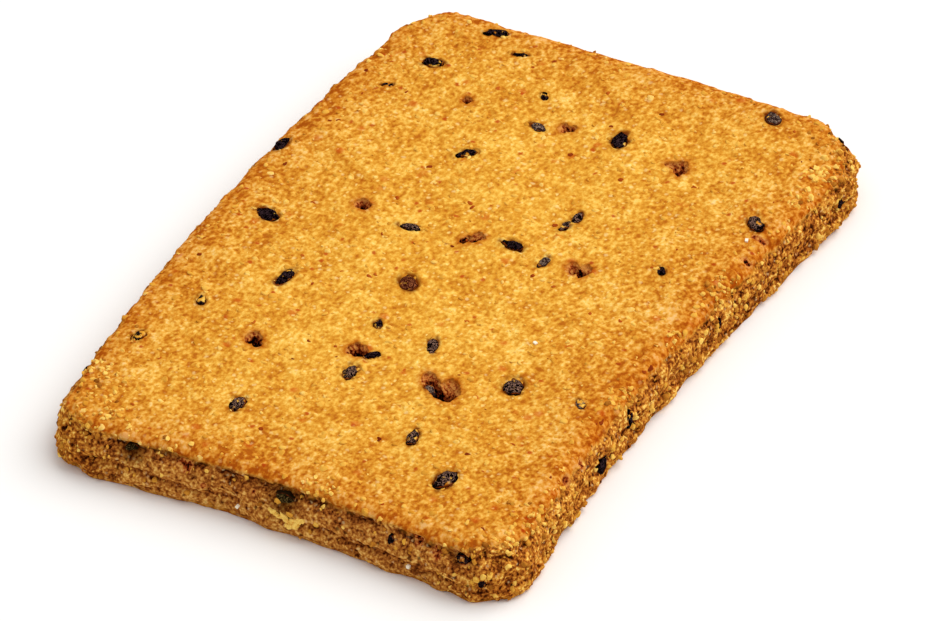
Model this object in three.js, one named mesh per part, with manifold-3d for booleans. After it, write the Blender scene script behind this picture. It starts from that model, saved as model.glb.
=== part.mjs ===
// A graham cracker of wholemeal dough: a thick rectangular slab with soft corners,
// nine torn docking holes and chia seeds baked into its skin.
// Millimetres, +Z up, length along X, lying flat with the origin under its middle.

import * as THREE from 'three';
import { mergeVertices } from 'three/addons/utils/BufferGeometryUtils.js';
import Module from 'manifold-3d';

// Slab: cut as a rectangle, then bent a little in its own plane as it baked.
const LENGTH = 70;
const WIDTH = 45.6;
const THICKNESS = 5;
const LONG_BEND = 2.33; // middle of both long sides, moved towards +Y
const LONG_BULGE = 0.19; // middle of both long sides, moved outwards
const LONG_SKEW = 1.25; // S-curve of the -Y side
const SHORT_BEND = 1.0; // middle of both short sides, moved towards +X
const SHORT_HOLLOW = 0.48; // middle of both short sides, moved inwards
const SHORT_SKEW = 0.73; // S-curve of the +X side
const CORNER_RADII = { nearRight: 6.2, farRight: 6.9, farLeft: 5.4, nearLeft: 4.7 };

// Wall, from the foot up: share of the thickness, then distance in from the widest line.
const WALL_PROFILE = [
  [0.0, 0.25],
  [0.12, 0.05],
  [0.24, 0.0],
  [0.36, 0.28],
  [0.5, 0.16],
  [0.64, 0.34],
  [0.78, 0.72],
  [0.88, 0.95],
];
const FOOT_SHARE = -0.06; // the walls run on down to here before the underside is cut flat
const RIM_SHARE = 0.88; // height where the wall rolls over into the top
const RIM_INSET = 0.95;
const RIM_REACH = 0.7; // length over which the rolled rim levels out

// Unevenness
const SWELL = 0.1; // low swells of the top
const CRAG = 0.16; // ridges of the torn walls
const CORNER_CRAG = 0.16; // extra crumbling at the corners
const CORNER_CRAG_REACH = 9;

// Cells of the slab along X, Y and Z, closer together near the rim.
const CELLS = [54, 36, 7];
const RIM_CROWDING = 0.45;

// Docking holes, as the slab was before it bent: place, mouth radius, depth,
// stretch along the heading and heading in degrees.
const HOLES = [
  { x: 21.9, y: 10.6, radius: 0.65, depth: 0.9, stretch: 1.1, heading: 20 },
  { x: 22.3, y: 1.0, radius: 0.75, depth: 0.9, stretch: 1.2, heading: 115 },
  { x: 21.3, y: -10.4, radius: 1.0, depth: 1.7, stretch: 1.35, heading: 100 },
  { x: 4.0, y: 10.5, radius: 0.75, depth: 1.3, stretch: 1.1, heading: 40 },
  { x: 3.8, y: 0.0, radius: 0.85, depth: 1.8, stretch: 1.25, heading: 115 },
  { x: 4.4, y: -10.1, radius: 1.1, depth: 2.1, stretch: 1.1, heading: 30 },
  { x: -17.4, y: 10.3, radius: 0.75, depth: 1.4, stretch: 1.2, heading: 30 },
  { x: -14.9, y: 1.6, radius: 0.85, depth: 1.6, stretch: 1.2, heading: 120 },
  { x: -15.8, y: -7.3, radius: 1.45, depth: 2.6, stretch: 1.2, heading: 75 },
];
const HOLE_SIDES = 9;
const HOLE_RAGGEDNESS = 0.16;

// Chia seeds: a flattened egg, mostly sunk in the dough.
const SEED_WIDTH = 0.6; // share of its length
const SEED_HEIGHT = 0.5;
const SEED_SINK = 0.22; // depth of its middle below the surface, share of its height
const SEED_SIDES = [6, 4];

// Seeds on the top, as the slab was before it bent: x, y, heading in degrees, length.
const TOP_SEEDS = [
  [32.2, 14.1, 110, 2.0], [30.1, 10.5, 110, 1.4], [25.5, 16.2, 100, 1.9], [25.4, 5.3, 30, 1.3],
  [20.8, 17.7, 120, 1.2], [21.0, 3.4, 70, 1.5], [22.4, -3.7, 15, 2.3], [31.7, -13.2, 40, 1.8],
  [14.5, 6.5, 135, 1.7], [10.0, -6.2, 0, 2.5], [17.8, -19.6, 40, 2.2], [9.0, 21.0, 0, 2.0],
  [2.7, 5.4, 100, 1.9], [4.4, -3.5, 85, 2.0], [3.5, -7.0, 170, 1.6], [7.5, -16.2, 45, 1.5],
  [-0.9, 17.1, 75, 2.2], [-4.5, 1.7, 35, 2.1], [-8.5, 11.5, 170, 2.5], [-14.5, 16.5, 25, 1.4],
  [-11.0, 1.3, 25, 1.4], [-11.5, -4.2, 20, 2.2], [-18.0, 0.6, 5, 2.0], [-15.0, -0.2, 130, 1.8],
  [-21.4, 19.3, 170, 1.8], [-26.3, 7.7, 0, 2.1], [-23.4, -8.0, 10, 2.1], [-27.1, -12.8, 165, 2.6],
  [-12.9, -12.9, 15, 2.2], [-12.0, -19.1, 40, 1.2],
];

// Seeds in the two walls towards -X and -Y: wall, place along it from -1 to 1, share of
// the thickness, heading in the wall and length.
const WALL_SEEDS = [
  ['-x', 0.56, 0.72, 10, 1.9], ['-x', 0.0, 0.66, 0, 2.2], ['-x', -0.38, 0.62, 80, 1.3],
  ['-x', -0.71, 0.76, 20, 1.6], ['-x', -0.85, 0.46, 90, 1.4], ['-y', -0.21, 0.56, 80, 1.7],
  ['-y', -0.34, 0.34, 50, 2.5], ['-y', 0.15, 0.52, 30, 1.3], ['-y', 0.72, 0.38, 0, 1.4],
];
const FAR_WALL_SEEDS = 8; // drawn at random in the other two walls
const FAR_WALL_DRAW = 29;

const UP = new THREE.Vector3(0, 0, 1);
const CRUMB_COLOUR = 0xdf9a3e;

// A whole number from 1 up starts a repeatable run of numbers between 0 and 1.
function draws(start) {
  let state = start;
  return () => {
    state = (state * 16807) % 2147483647;
    return state / 2147483647;
  };
}

// Three crossed waves, about one length apart and between -1 and 1.
function waves(x, y, z, length) {
  const k = (2 * Math.PI) / length;
  const first = Math.sin(k * (0.93 * x + 0.37 * y + 0.6 * z) + 0.7);
  const second = Math.sin(k * (-0.48 * x + 1.09 * y - 0.9 * z) + 2.9);
  const third = Math.sin(k * (0.71 * x - 0.82 * y + 1.3 * z) + 4.6);
  return (first + second + third) / 3;
}

// Straight line between the two profile points around a height.
function wallInset(share) {
  const above = Math.max(1, WALL_PROFILE.findIndex(([height]) => height >= share));
  const [low, lowInset] = WALL_PROFILE[above - 1];
  const [high, highInset] = WALL_PROFILE[above];
  return THREE.MathUtils.mapLinear(share, low, high, lowInset, highInset);
}

function cornerRadius(x, y) {
  if (x < 0) return y < 0 ? CORNER_RADII.nearRight : CORNER_RADII.nearLeft;
  return y < 0 ? CORNER_RADII.farRight : CORNER_RADII.farLeft;
}

// How far a place lies in from the rounded rectangle's edge.
function edgeDistance(x, y) {
  const radius = cornerRadius(x, y);
  const pastX = Math.abs(x) - (LENGTH / 2 - radius);
  const pastY = Math.abs(y) - (WIDTH / 2 - radius);
  const corner = Math.hypot(Math.max(pastX, 0), Math.max(pastY, 0));
  return radius - corner - Math.min(Math.max(pastX, pastY), 0);
}

// Place of a unit-square point on the rounded rectangle, drawn in by an inset.
function slabPlace(u, v, inset) {
  const crowd = (t) => (1 - RIM_CROWDING) * t + RIM_CROWDING * Math.sin((t * Math.PI) / 2);
  const halfX = LENGTH / 2 - inset;
  const halfY = WIDTH / 2 - inset;
  const radius = cornerRadius(u, v) - inset / 2;
  const place = new THREE.Vector2(crowd(u) * halfX, crowd(v) * halfY);
  const a = (Math.abs(place.x) - (halfX - radius)) / radius;
  const b = (Math.abs(place.y) - (halfY - radius)) / radius;
  if (a > 0 && b > 0) {
    place.x = Math.sign(place.x) * (halfX - radius + radius * a * Math.sqrt(1 - (b * b) / 2));
    place.y = Math.sign(place.y) * (halfY - radius + radius * b * Math.sqrt(1 - (a * a) / 2));
  }
  return place;
}

// Where the oven's bending takes a place in the slab.
function bend(x, y) {
  const s = (2 * x) / LENGTH;
  const t = (2 * y) / WIDTH;
  const midLength = 1 - s * s;
  const midWidth = 1 - t * t;
  const skewX = (SHORT_SKEW * midWidth * t * (1 + s)) / 2;
  const skewY = (LONG_SKEW * midLength * s * (1 - t)) / 2;
  const bentX = x + midWidth * (SHORT_BEND - SHORT_HOLLOW * s) - skewX;
  const bentY = y + midLength * (LONG_BEND + LONG_BULGE * t) - skewY;
  return new THREE.Vector2(bentX, bentY);
}

function topHeight(x, y) {
  const roll = Math.exp((RIM_INSET - edgeDistance(x, y)) / RIM_REACH);
  const level = THICKNESS * (1 - (1 - RIM_SHARE) * Math.min(roll, 1));
  return level + SWELL * (1 - Math.min(roll, 1)) * (waves(x, y, 0, 13) + 0.5 * waves(y, x, 0, 5.3));
}

// Crumbled depth of the wall: ridges everywhere and more of them at the corners.
function crag(x, y, z) {
  const toCorner = Math.hypot(LENGTH / 2 - Math.abs(x), WIDTH / 2 - Math.abs(y));
  const corner = CORNER_CRAG * Math.exp(-((toCorner / CORNER_CRAG_REACH) ** 2));
  return (CRAG + corner) * (waves(x, y, z, 4.3) + 0.6 * waves(y, x, z, 2.6));
}

// Surface point of the slab for a point of the cube from -1 to 1.
function slabPoint(u, v, w) {
  const share = THREE.MathUtils.mapLinear(w, -1, 1, FOOT_SHARE, RIM_SHARE);
  const inset = wallInset(share);
  const ideal = slabPlace(u, v, inset);
  const height = THICKNESS * share;
  const onWall = Math.max(Math.abs(u), Math.abs(v)) > 0.999;
  const torn = onWall ? slabPlace(u, v, inset + crag(ideal.x, ideal.y, height)) : ideal;
  const bent = bend(torn.x, torn.y);
  const top = w > 0.999 && !onWall;
  return new THREE.Vector3(bent.x, bent.y, top ? topHeight(torn.x, torn.y) : height);
}

// The same shape with each corner point held once.
function weld(geometry) {
  geometry.deleteAttribute('normal');
  geometry.deleteAttribute('uv');
  return mergeVertices(geometry);
}

function slabGeometry() {
  const geometry = weld(new THREE.BoxGeometry(2, 2, 2, ...CELLS));
  const position = geometry.attributes.position;
  for (let i = 0; i < position.count; i += 1) {
    const point = slabPoint(position.getX(i), position.getY(i), position.getZ(i));
    position.setXYZ(i, point.x, point.y, point.z);
  }
  return geometry;
}

// A rounded scoop with a ragged mouth, to be taken out of the top.
function holeGeometry({ x, y, radius, depth, stretch, heading }) {
  const geometry = weld(new THREE.SphereGeometry(1, HOLE_SIDES, HOLE_SIDES - 1));
  geometry.rotateX(Math.PI / 2);
  const position = geometry.attributes.position;
  for (let i = 0; i < position.count; i += 1) {
    const angle = Math.atan2(position.getY(i), position.getX(i));
    const tear = Math.sin(3 * angle + x) + Math.sin(2 * angle + y);
    const ragged = radius * (1 + HOLE_RAGGEDNESS * tear);
    position.setXYZ(i, position.getX(i) * ragged, position.getY(i) * ragged, position.getZ(i) * depth);
  }
  geometry.scale(stretch, 1, 1);
  geometry.rotateZ(THREE.MathUtils.degToRad(heading));
  const bent = bend(x, y);
  return geometry.translate(bent.x, bent.y, topHeight(x, y));
}

// A seed baked in at a surface point: outward is the surface's normal, and the seed's
// length is turned by the heading from the along direction.
function seedGeometry(point, along, outward, heading, length) {
  const geometry = weld(new THREE.SphereGeometry(0.5, ...SEED_SIDES));
  geometry.rotateX(Math.PI / 2);
  geometry.scale(length, length * SEED_WIDTH, length * SEED_HEIGHT);
  geometry.translate(0, 0, -length * SEED_HEIGHT * SEED_SINK);
  geometry.rotateZ(THREE.MathUtils.degToRad(heading));
  const across = outward.clone().cross(along);
  geometry.applyMatrix4(new THREE.Matrix4().makeBasis(along, across, outward));
  return geometry.translate(...point);
}

function topSeed([x, y, heading, length]) {
  const bent = bend(x, y);
  const point = new THREE.Vector3(bent.x, bent.y, topHeight(x, y));
  return seedGeometry(point, new THREE.Vector3(1, 0, 0), UP, heading, length);
}

function wallSeed([wall, place, share, heading, length]) {
  const level = THREE.MathUtils.mapLinear(share, FOOT_SHARE, RIM_SHARE, -1, 1);
  const edge = wall.startsWith('-') ? -1 : 1;
  const at = (t) => (wall.endsWith('x') ? slabPoint(edge, t, level) : slabPoint(t, edge, level));
  const point = at(place);
  const along = at(place + 0.05).sub(at(place - 0.05)).setZ(0).normalize();
  const outward = along.clone().cross(UP);
  if (outward.dot(point) > 0) return seedGeometry(point, along, outward, heading, length);
  return seedGeometry(point, along.negate(), outward.negate(), heading, length);
}

function farWallSeeds() {
  const draw = draws(FAR_WALL_DRAW);
  const between = (low, high) => low + (high - low) * draw();
  return Array.from({ length: FAR_WALL_SEEDS }, (_, i) => {
    const wall = i % 3 === 0 ? '+x' : '+y';
    return wallSeed([wall, between(-0.85, 0.85), between(0.3, 0.75), between(0, 180), between(1.4, 2.2)]);
  });
}

function toSolid(geometry) {
  const vertProperties = geometry.attributes.position.array;
  const triVerts = Uint32Array.from(geometry.index.array);
  return new wasm.Manifold(new wasm.Mesh({ numProp: 3, vertProperties, triVerts }));
}

function toGeometry(solid) {
  const mesh = solid.getMesh();
  const geometry = new THREE.BufferGeometry();
  geometry.setAttribute('position', new THREE.BufferAttribute(mesh.vertProperties, 3));
  geometry.setIndex(new THREE.BufferAttribute(mesh.triVerts, 1));
  return geometry;
}

// The space above the plane that the cracker lies on.
function aboveUnderside() {
  const geometry = weld(new THREE.BoxGeometry(2 * LENGTH, 2 * WIDTH, 2 * THICKNESS));
  return toSolid(geometry.translate(0, 0, THICKNESS));
}

// Slab less its holes, plus its seeds, moved so that it stands on the origin's plane
// with its box centred there.
function crackerGeometry() {
  const seeds = [...TOP_SEEDS.map(topSeed), ...WALL_SEEDS.map(wallSeed), ...farWallSeeds()];
  let solid = toSolid(slabGeometry()).intersect(aboveUnderside());
  for (const hole of HOLES) solid = solid.subtract(toSolid(holeGeometry(hole)));
  for (const seed of seeds) solid = solid.add(toSolid(seed));
  const geometry = toGeometry(solid);
  geometry.computeBoundingBox();
  const centre = geometry.boundingBox.getCenter(new THREE.Vector3());
  geometry.translate(-centre.x, -centre.y, -geometry.boundingBox.min.z);
  geometry.computeVertexNormals();
  return geometry;
}

const wasm = await Module();
wasm.setup();

const crumb = new THREE.MeshStandardMaterial({ color: CRUMB_COLOUR, roughness: 0.85, metalness: 0 });
const cracker = new THREE.Mesh(crackerGeometry(), crumb);
cracker.name = 'graham_cracker';

const group = new THREE.Group();
group.add(cracker);

export default group;
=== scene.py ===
"""A wholemeal graham cracker with chia seeds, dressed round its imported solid.

The dough is one closed mesh that follows the solid's own form, worked out here from the
same named sizes, with the torn walls, the docking holes and the grain of the crumb added.
Seeds, crumbs, bran and sugar are separate pieces that lie in its surface.
"""

import logging
import math
from collections.abc import Iterator
from dataclasses import dataclass
from enum import Enum

import bpy
import numpy as np
from bpy.types import Material, Mesh, Node, NodeSocket, NodeTree, Object
from mathutils import Matrix, Vector


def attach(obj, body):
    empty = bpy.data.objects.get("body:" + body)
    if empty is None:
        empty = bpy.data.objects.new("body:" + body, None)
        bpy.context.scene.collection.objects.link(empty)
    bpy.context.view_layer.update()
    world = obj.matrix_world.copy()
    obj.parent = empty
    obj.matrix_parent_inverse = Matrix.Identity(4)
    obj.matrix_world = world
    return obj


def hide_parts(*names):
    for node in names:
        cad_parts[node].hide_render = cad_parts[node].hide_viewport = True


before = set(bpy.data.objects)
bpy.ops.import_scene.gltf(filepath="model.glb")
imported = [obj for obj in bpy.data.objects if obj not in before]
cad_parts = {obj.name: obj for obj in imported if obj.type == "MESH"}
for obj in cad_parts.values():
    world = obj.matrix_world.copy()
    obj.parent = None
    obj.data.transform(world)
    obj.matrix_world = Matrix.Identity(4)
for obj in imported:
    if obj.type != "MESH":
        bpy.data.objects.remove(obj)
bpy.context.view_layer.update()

MM = 0.001
BLEND = {"data_type": "RGBA"}
TINT = {"data_type": "RGBA", "blend_type": "MULTIPLY"}
MULTIPLY = {"operation": "MULTIPLY"}
MULTIPLY_ADD = {"operation": "MULTIPLY_ADD"}
HALF_TURN = 3.14
FIRST_DRAW = 11
FLAT = Matrix.Identity(3)
NODE = "graham_cracker"
BODY = "root"

ATTRIBUTE = "ShaderNodeAttribute"
BUMP = "ShaderNodeBump"
MATH = "ShaderNodeMath"
MIX = "ShaderNodeMix"
NOISE = "ShaderNodeTexNoise"
RAMP = "ShaderNodeValToRGB"
RANGE = "ShaderNodeMapRange"
STORED = "GeometryNodeInputNamedAttribute"
VORONOI = "ShaderNodeTexVoronoi"

Array = np.ndarray
Heights = tuple[tuple[float, float, int], ...]
Stops = tuple[tuple[float, str], ...]
Inputs = dict[int | str, object] | None

logging.basicConfig(level=logging.INFO, format="%(message)s")
log = logging.getLogger("cracker")


# --- small helpers


def linear(hex_colour: str) -> tuple[float, float, float, float]:
    """Turns an sRGB hex colour into the linear one that a shader takes.

    Args:
        hex_colour: such as "#d29a48".

    Returns:
        Red, green, blue and an alpha of 1.
    """
    parts = [int(hex_colour[i : i + 2], 16) / 255 for i in (1, 3, 5)]
    curved = [p / 12.92 if p <= 0.04045 else ((p + 0.055) / 1.055) ** 2.4 for p in parts]
    return (*curved, 1.0)


def per_metre(size_mm: float) -> float:
    """Texture scale that makes a pattern's cell this many millimetres wide."""
    return 1000.0 / size_mm


def add_node(
    tree: NodeTree,
    kind: str,
    inputs: Inputs = None,
    stops: Stops = (),
    **settings: object,
) -> Node:
    """Adds a node with its settings, values and links.

    Args:
        tree: the tree that it goes into.
        kind: the node's type name.
        inputs: socket name or number, to a value, an sRGB hex colour, the output that feeds
            it, or a node whose first live output does.
        stops: places and sRGB hex colours of a colour ramp.
        settings: the node's own properties.

    Returns:
        The new node.
    """
    made = tree.nodes.new(kind)
    for name, value in settings.items():
        setattr(made, name, value)
    for key, value in (inputs or {}).items():
        if isinstance(value, Node):
            value = next(output for output in value.outputs if output.enabled)
        if isinstance(value, NodeSocket):
            tree.links.new(value, made.inputs[key])
        elif isinstance(value, str) and value.startswith("#"):
            made.inputs[key].default_value = linear(value)
        else:
            made.inputs[key].default_value = value
    if stops:
        elements = made.color_ramp.elements
        while len(elements) < len(stops):
            elements.new(1.0)
        for element, (place, colour) in zip(elements, stops):
            element.position = place
            element.color = linear(colour)
    return made


@dataclass(frozen=True)
class Canvas:
    """A material while its nodes are added, with its object coordinates."""

    material: Material
    place: NodeSocket

    @classmethod
    def start(cls, name: str, roughness: float, specular: float) -> "Canvas":
        """Starts a material whose shine is the same all over.

        Args:
            name: the material's name.
            roughness: the shader's roughness.
            specular: the shader's specular level.

        Returns:
            The canvas.
        """
        material = bpy.data.materials.new(name)
        material.use_nodes = True
        shader = material.node_tree.nodes["Principled BSDF"]
        shader.inputs["Roughness"].default_value = roughness
        shader.inputs["Specular IOR Level"].default_value = specular
        return cls(material, add_node(material.node_tree, "ShaderNodeTexCoord").outputs["Object"])

    def node(self, kind: str, inputs: Inputs = None, stops: Stops = (), **settings: object) -> Node:
        """Adds a node to the material."""
        return add_node(self.material.node_tree, kind, inputs, stops, **settings)

    def cells(self, size_mm: float, detail: float = 2.0, place: Node | None = None) -> Inputs:
        """Inputs of a noise of one cell size, over the object or over places of its own."""
        return {"Vector": place or self.place, "Scale": per_metre(size_mm), "Detail": detail}

    def finish(self, colour: NodeSocket, height: Node, strength: float, depth: float) -> Material:
        """Gives the material its colour and its fine relief.

        Args:
            colour: the output that gives its colour.
            height: the node that gives its relief.
            strength: how clear the relief is, from 0 to 1.
            depth: how deep it is, in millimetres.

        Returns:
            The material.
        """
        bump = self.node(BUMP, {"Height": height, "Strength": strength, "Distance": depth * MM})
        tree = self.material.node_tree
        shader = tree.nodes["Principled BSDF"]
        tree.links.new(bump.outputs[0], shader.inputs["Normal"])
        tree.links.new(colour, shader.inputs["Base Color"])
        return self.material


def lattice(corner: Array, seed: int) -> Array:
    """Random numbers from 0 to 1, one for each whole-number corner of a lattice.

    Args:
        corner: N by 3 whole numbers.
        seed: picks one of many such lattices.

    Returns:
        N numbers.
    """
    mixed = corner[:, 0] * 73856093 ^ corner[:, 1] * 19349663 ^ corner[:, 2] * 83492791
    mixed = (mixed ^ seed * 40503) & 0x7FFFFFFF
    mixed = ((mixed ^ (mixed >> 13)) * 1274126177) & 0x7FFFFFFF
    mixed = ((mixed ^ (mixed >> 11)) * 69069) & 0x7FFFFFFF
    return (mixed ^ (mixed >> 15)) / float(0x7FFFFFFF)


def rolling(points: Array, cell: float, seed: int) -> Array:
    """Smooth random relief of one cell size.

    Args:
        points: N by 3 places in millimetres.
        cell: distance between random heights, in millimetres.
        seed: picks the pattern.

    Returns:
        N heights between -1 and 1.
    """
    grid = points / cell
    base = np.floor(grid).astype(np.int64)
    t = grid - base
    t = t * t * (3 - 2 * t)
    total = np.zeros(len(points))
    for step in np.ndindex(2, 2, 2):
        weight = np.prod(np.where(step, t, 1 - t), axis=1)
        total += weight * lattice(base + np.array(step), seed)
    return 2 * total - 1


def beads(points: Array, cell: float, seed: int) -> tuple[Array, Array]:
    """Distance to the nearest of many scattered grains, about one in each cell.

    Args:
        points: N by 3 places in millimetres.
        cell: mean distance between grains, in millimetres.
        seed: picks the pattern.

    Returns:
        N distances as shares of the cell, and the N nearest grains' own random numbers.
    """
    grid = points / cell
    base = np.floor(grid).astype(np.int64)
    nearest = np.full(len(points), 9.0)
    tone = np.zeros(len(points))
    for step in np.ndindex(3, 3, 3):
        corner = base + np.array(step) - 1
        offset = np.stack([lattice(corner, seed + k) for k in (1, 2, 3)], axis=1)
        distance = np.linalg.norm(corner + offset - grid, axis=1)
        closer = distance < nearest
        nearest = np.where(closer, distance, nearest)
        tone = np.where(closer, lattice(corner, seed + 4), tone)
    return nearest, tone


def smoothstep(low: float, high: float, x: Array) -> Array:
    """0 below low, 1 above high and a smooth rise between them."""
    t = np.clip((x - low) / (high - low), 0, 1)
    return t * t * (3 - 2 * t)


def hill(x: Array, middle: float, reach: float) -> Array:
    """A smooth hill, 1 high at its middle."""
    return np.exp(-(((x - middle) / reach) ** 2))


@dataclass(frozen=True)
class Rolls:
    """Rolling relief of several sizes: for each its height, its cell and its seed."""

    parts: Heights

    def relief(self, points: Array) -> Array:
        """Height at each point, in millimetres."""
        return sum(height * rolling(points, cell, seed) for height, cell, seed in self.parts)


@dataclass(frozen=True)
class Beads:
    """Round grains, or pits where the height is negative, scattered over a surface.

    The cell and the height are millimetres, the reach is a share of the cell, and rare is
    the least random number between 0 and 1 that a grain needs to stand.
    """

    cell: float
    reach: float
    height: float
    rare: float
    seed: int

    def relief(self, points: Array) -> Array:
        """Height at each point, in millimetres."""
        distance, tone = beads(points, self.cell, self.seed)
        return self.height * np.clip(1 - (distance / self.reach) ** 2, 0, 1) * (tone > self.rare)


@dataclass(frozen=True)
class Spot:
    """A place of the slab before it bent where something is strong, in millimetres."""

    x: float
    y: float
    reach: float
    strength: float

    def near(self, x: Array, y: Array) -> Array:
        """How strong it is at each place."""
        return self.strength * np.exp(-(((x - self.x) ** 2 + (y - self.y) ** 2) / self.reach**2))


def mesh_object(
    name: str, points: Array, faces: list[tuple[int, ...]], material: Material | None
) -> Object:
    """Makes a smooth-shaded mesh object from millimetre points.

    Args:
        name: the piece's name.
        points: N by 3 places in millimetres.
        faces: the corners of each face, counter-clockwise seen from outside.
        material: what it is made of, or None.

    Returns:
        The object, linked to the scene.
    """
    mesh = bpy.data.meshes.new(name)
    mesh.from_pydata((points * MM).tolist(), [], faces)
    mesh.shade_smooth()
    if material:
        mesh.materials.append(material)
    return new_object(name, mesh)


def new_object(name: str, data: bpy.types.ID) -> Object:
    """Makes an object of some data and links it to the scene."""
    made = bpy.data.objects.new(name, data)
    bpy.context.scene.collection.objects.link(made)
    return made


def set_attribute(mesh: Mesh, name: str, values: Array) -> None:
    """Stores one number, or three, for each vertex of a mesh."""
    kind, key = ("FLOAT", "value") if values.ndim == 1 else ("FLOAT_VECTOR", "vector")
    attribute = mesh.attributes.new(name, kind, "POINT")
    attribute.data.foreach_set(key, values.astype(np.float32).ravel())


def points_of(mesh: Mesh) -> Array:
    """A mesh's points in millimetres."""
    co = np.zeros(len(mesh.vertices) * 3)
    mesh.vertices.foreach_get("co", co)
    return co.reshape(-1, 3) / MM


def set_points(mesh: Mesh, points: Array) -> None:
    """Moves a mesh's points to places in millimetres."""
    mesh.vertices.foreach_set("co", (points * MM).astype(np.float32).ravel())
    mesh.update()


def declare(piece: Object) -> None:
    """Ties a finished piece to the body, hides the solid that it stands for and logs its triangles.
    """
    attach(piece, BODY)
    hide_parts(NODE)
    triangles = sum(len(p.vertices) - 2 for p in piece.data.polygons)
    log.info("%s: %d triangles", piece.name, triangles)


# --- the dough's own form


@dataclass(frozen=True)
class SlabForm:
    """The baked slab's form in millimetres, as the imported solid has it.

    Places are given as the slab was before it bent in the oven, and bend() takes them to
    where they are now. The middle is that of the bent slab's own box, which the frame has
    at its origin.
    """

    length: float = 70.0
    width: float = 45.6
    thickness: float = 5.0
    long_bend: float = 2.33
    long_bulge: float = 0.19
    long_skew: float = 1.25
    short_bend: float = 1.0
    short_hollow: float = 0.48
    short_skew: float = 0.73
    near_right: float = 6.2
    far_right: float = 6.9
    far_left: float = 5.4
    near_left: float = 4.7
    profile_share: tuple[float, ...] = (0.0, 0.12, 0.24, 0.36, 0.5, 0.64, 0.78, 0.88)
    profile_inset: tuple[float, ...] = (0.25, 0.05, 0.0, 0.28, 0.16, 0.34, 0.72, 0.95)
    rim_share: float = 0.88
    rim_inset: float = 0.95
    rim_reach: float = 0.7
    swell: float = 0.1
    crag_depth: float = 0.16
    corner_crag: float = 0.16
    corner_reach: float = 9.0
    middle: tuple[float, float, float] = (0.637, 1.513, 0.0)
    crossed: tuple[tuple[float, float, float, float], ...] = (
        (0.93, 0.37, 0.6, 0.7),
        (-0.48, 1.09, -0.9, 2.9),
        (0.71, -0.82, 1.3, 4.6),
    )
    swell_waves: tuple[float, float] = (13, 5.3)
    crag_waves: tuple[float, float] = (4.3, 2.6)
    unbend_steps: int = 12

    def waves(self, x: Array, y: Array, z: Array | float, length: float) -> Array:
        """Three crossed waves, about one length apart and between -1 and 1."""
        k = 2 * math.pi / length
        heights = [np.sin(k * (a * x + b * y + c * z) + start) for a, b, c, start in self.crossed]
        return sum(heights) / len(heights)

    def wall_inset(self, share: Array) -> Array:
        """How far the wall stands in from its widest line at a share of the thickness."""
        return np.interp(share, self.profile_share, self.profile_inset)

    def corner_radius(self, x: Array, y: Array) -> Array:
        """Radius of the corner that a place is nearest to."""
        near = np.where(y < 0, self.near_right, self.near_left)
        far = np.where(y < 0, self.far_right, self.far_left)
        return np.where(x < 0, near, far)

    def edge_distance(self, x: Array, y: Array) -> Array:
        """How far a place lies in from the rounded rectangle's edge."""
        radius = self.corner_radius(x, y)
        past_x = np.abs(x) - (self.length / 2 - radius)
        past_y = np.abs(y) - (self.width / 2 - radius)
        corner = np.hypot(np.maximum(past_x, 0), np.maximum(past_y, 0))
        return radius - corner - np.minimum(np.maximum(past_x, past_y), 0)

    def place(
        self, u: Array, v: Array, inset: Array | float, crowding: float = 0.45
    ) -> tuple[Array, Array]:
        """Takes points of a unit square to the rounded rectangle.

        Args:
            u: places along the length, from -1 to 1.
            v: places along the width, from -1 to 1.
            inset: how far the rectangle is drawn in, in millimetres.
            crowding: 0 for even cells, more for smaller cells near the rim.

        Returns:
            The places' x and y.
        """
        half_x = self.length / 2 - inset
        half_y = self.width / 2 - inset
        radius = self.corner_radius(u, v) - inset / 2
        x = ((1 - crowding) * u + crowding * np.sin(u * math.pi / 2)) * half_x
        y = ((1 - crowding) * v + crowding * np.sin(v * math.pi / 2)) * half_y
        a = (np.abs(x) - (half_x - radius)) / radius
        b = (np.abs(y) - (half_y - radius)) / radius
        corner = (a > 0) & (b > 0)
        arc_x, arc_y = (np.sqrt(np.clip(1 - c * c / 2, 0, 1)) for c in (b, a))
        round_x = np.sign(x) * (half_x - radius + radius * a * arc_x)
        round_y = np.sign(y) * (half_y - radius + radius * b * arc_y)
        return np.where(corner, round_x, x), np.where(corner, round_y, y)

    def bend(self, x: Array, y: Array) -> tuple[Array, Array]:
        """Where the oven's bending takes a place in the slab."""
        s = 2 * x / self.length
        t = 2 * y / self.width
        mid_length = 1 - s * s
        mid_width = 1 - t * t
        skew_x = self.short_skew * mid_width * t * (1 + s) / 2
        skew_y = self.long_skew * mid_length * s * (1 - t) / 2
        bent_x = x + mid_width * (self.short_bend - self.short_hollow * s) - skew_x
        bent_y = y + mid_length * (self.long_bend + self.long_bulge * t) - skew_y
        return bent_x, bent_y

    def unbend(self, x: Array, y: Array) -> tuple[Array, Array]:
        """Where a place of the bent slab was before, found by stepping back."""
        flat_x, flat_y = x, y
        for _ in range(self.unbend_steps):
            bent_x, bent_y = self.bend(flat_x, flat_y)
            flat_x = flat_x - (bent_x - x)
            flat_y = flat_y - (bent_y - y)
        return flat_x, flat_y

    def top_height(self, x: Array, y: Array) -> Array:
        """Height of the top, with its low swells and its rolled rim."""
        roll = np.minimum(np.exp((self.rim_inset - self.edge_distance(x, y)) / self.rim_reach), 1)
        level = self.thickness * (1 - (1 - self.rim_share) * roll)
        long, short = self.swell_waves
        swells = self.waves(x, y, 0, long) + 0.5 * self.waves(y, x, 0, short)
        return level + self.swell * (1 - roll) * swells

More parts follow.
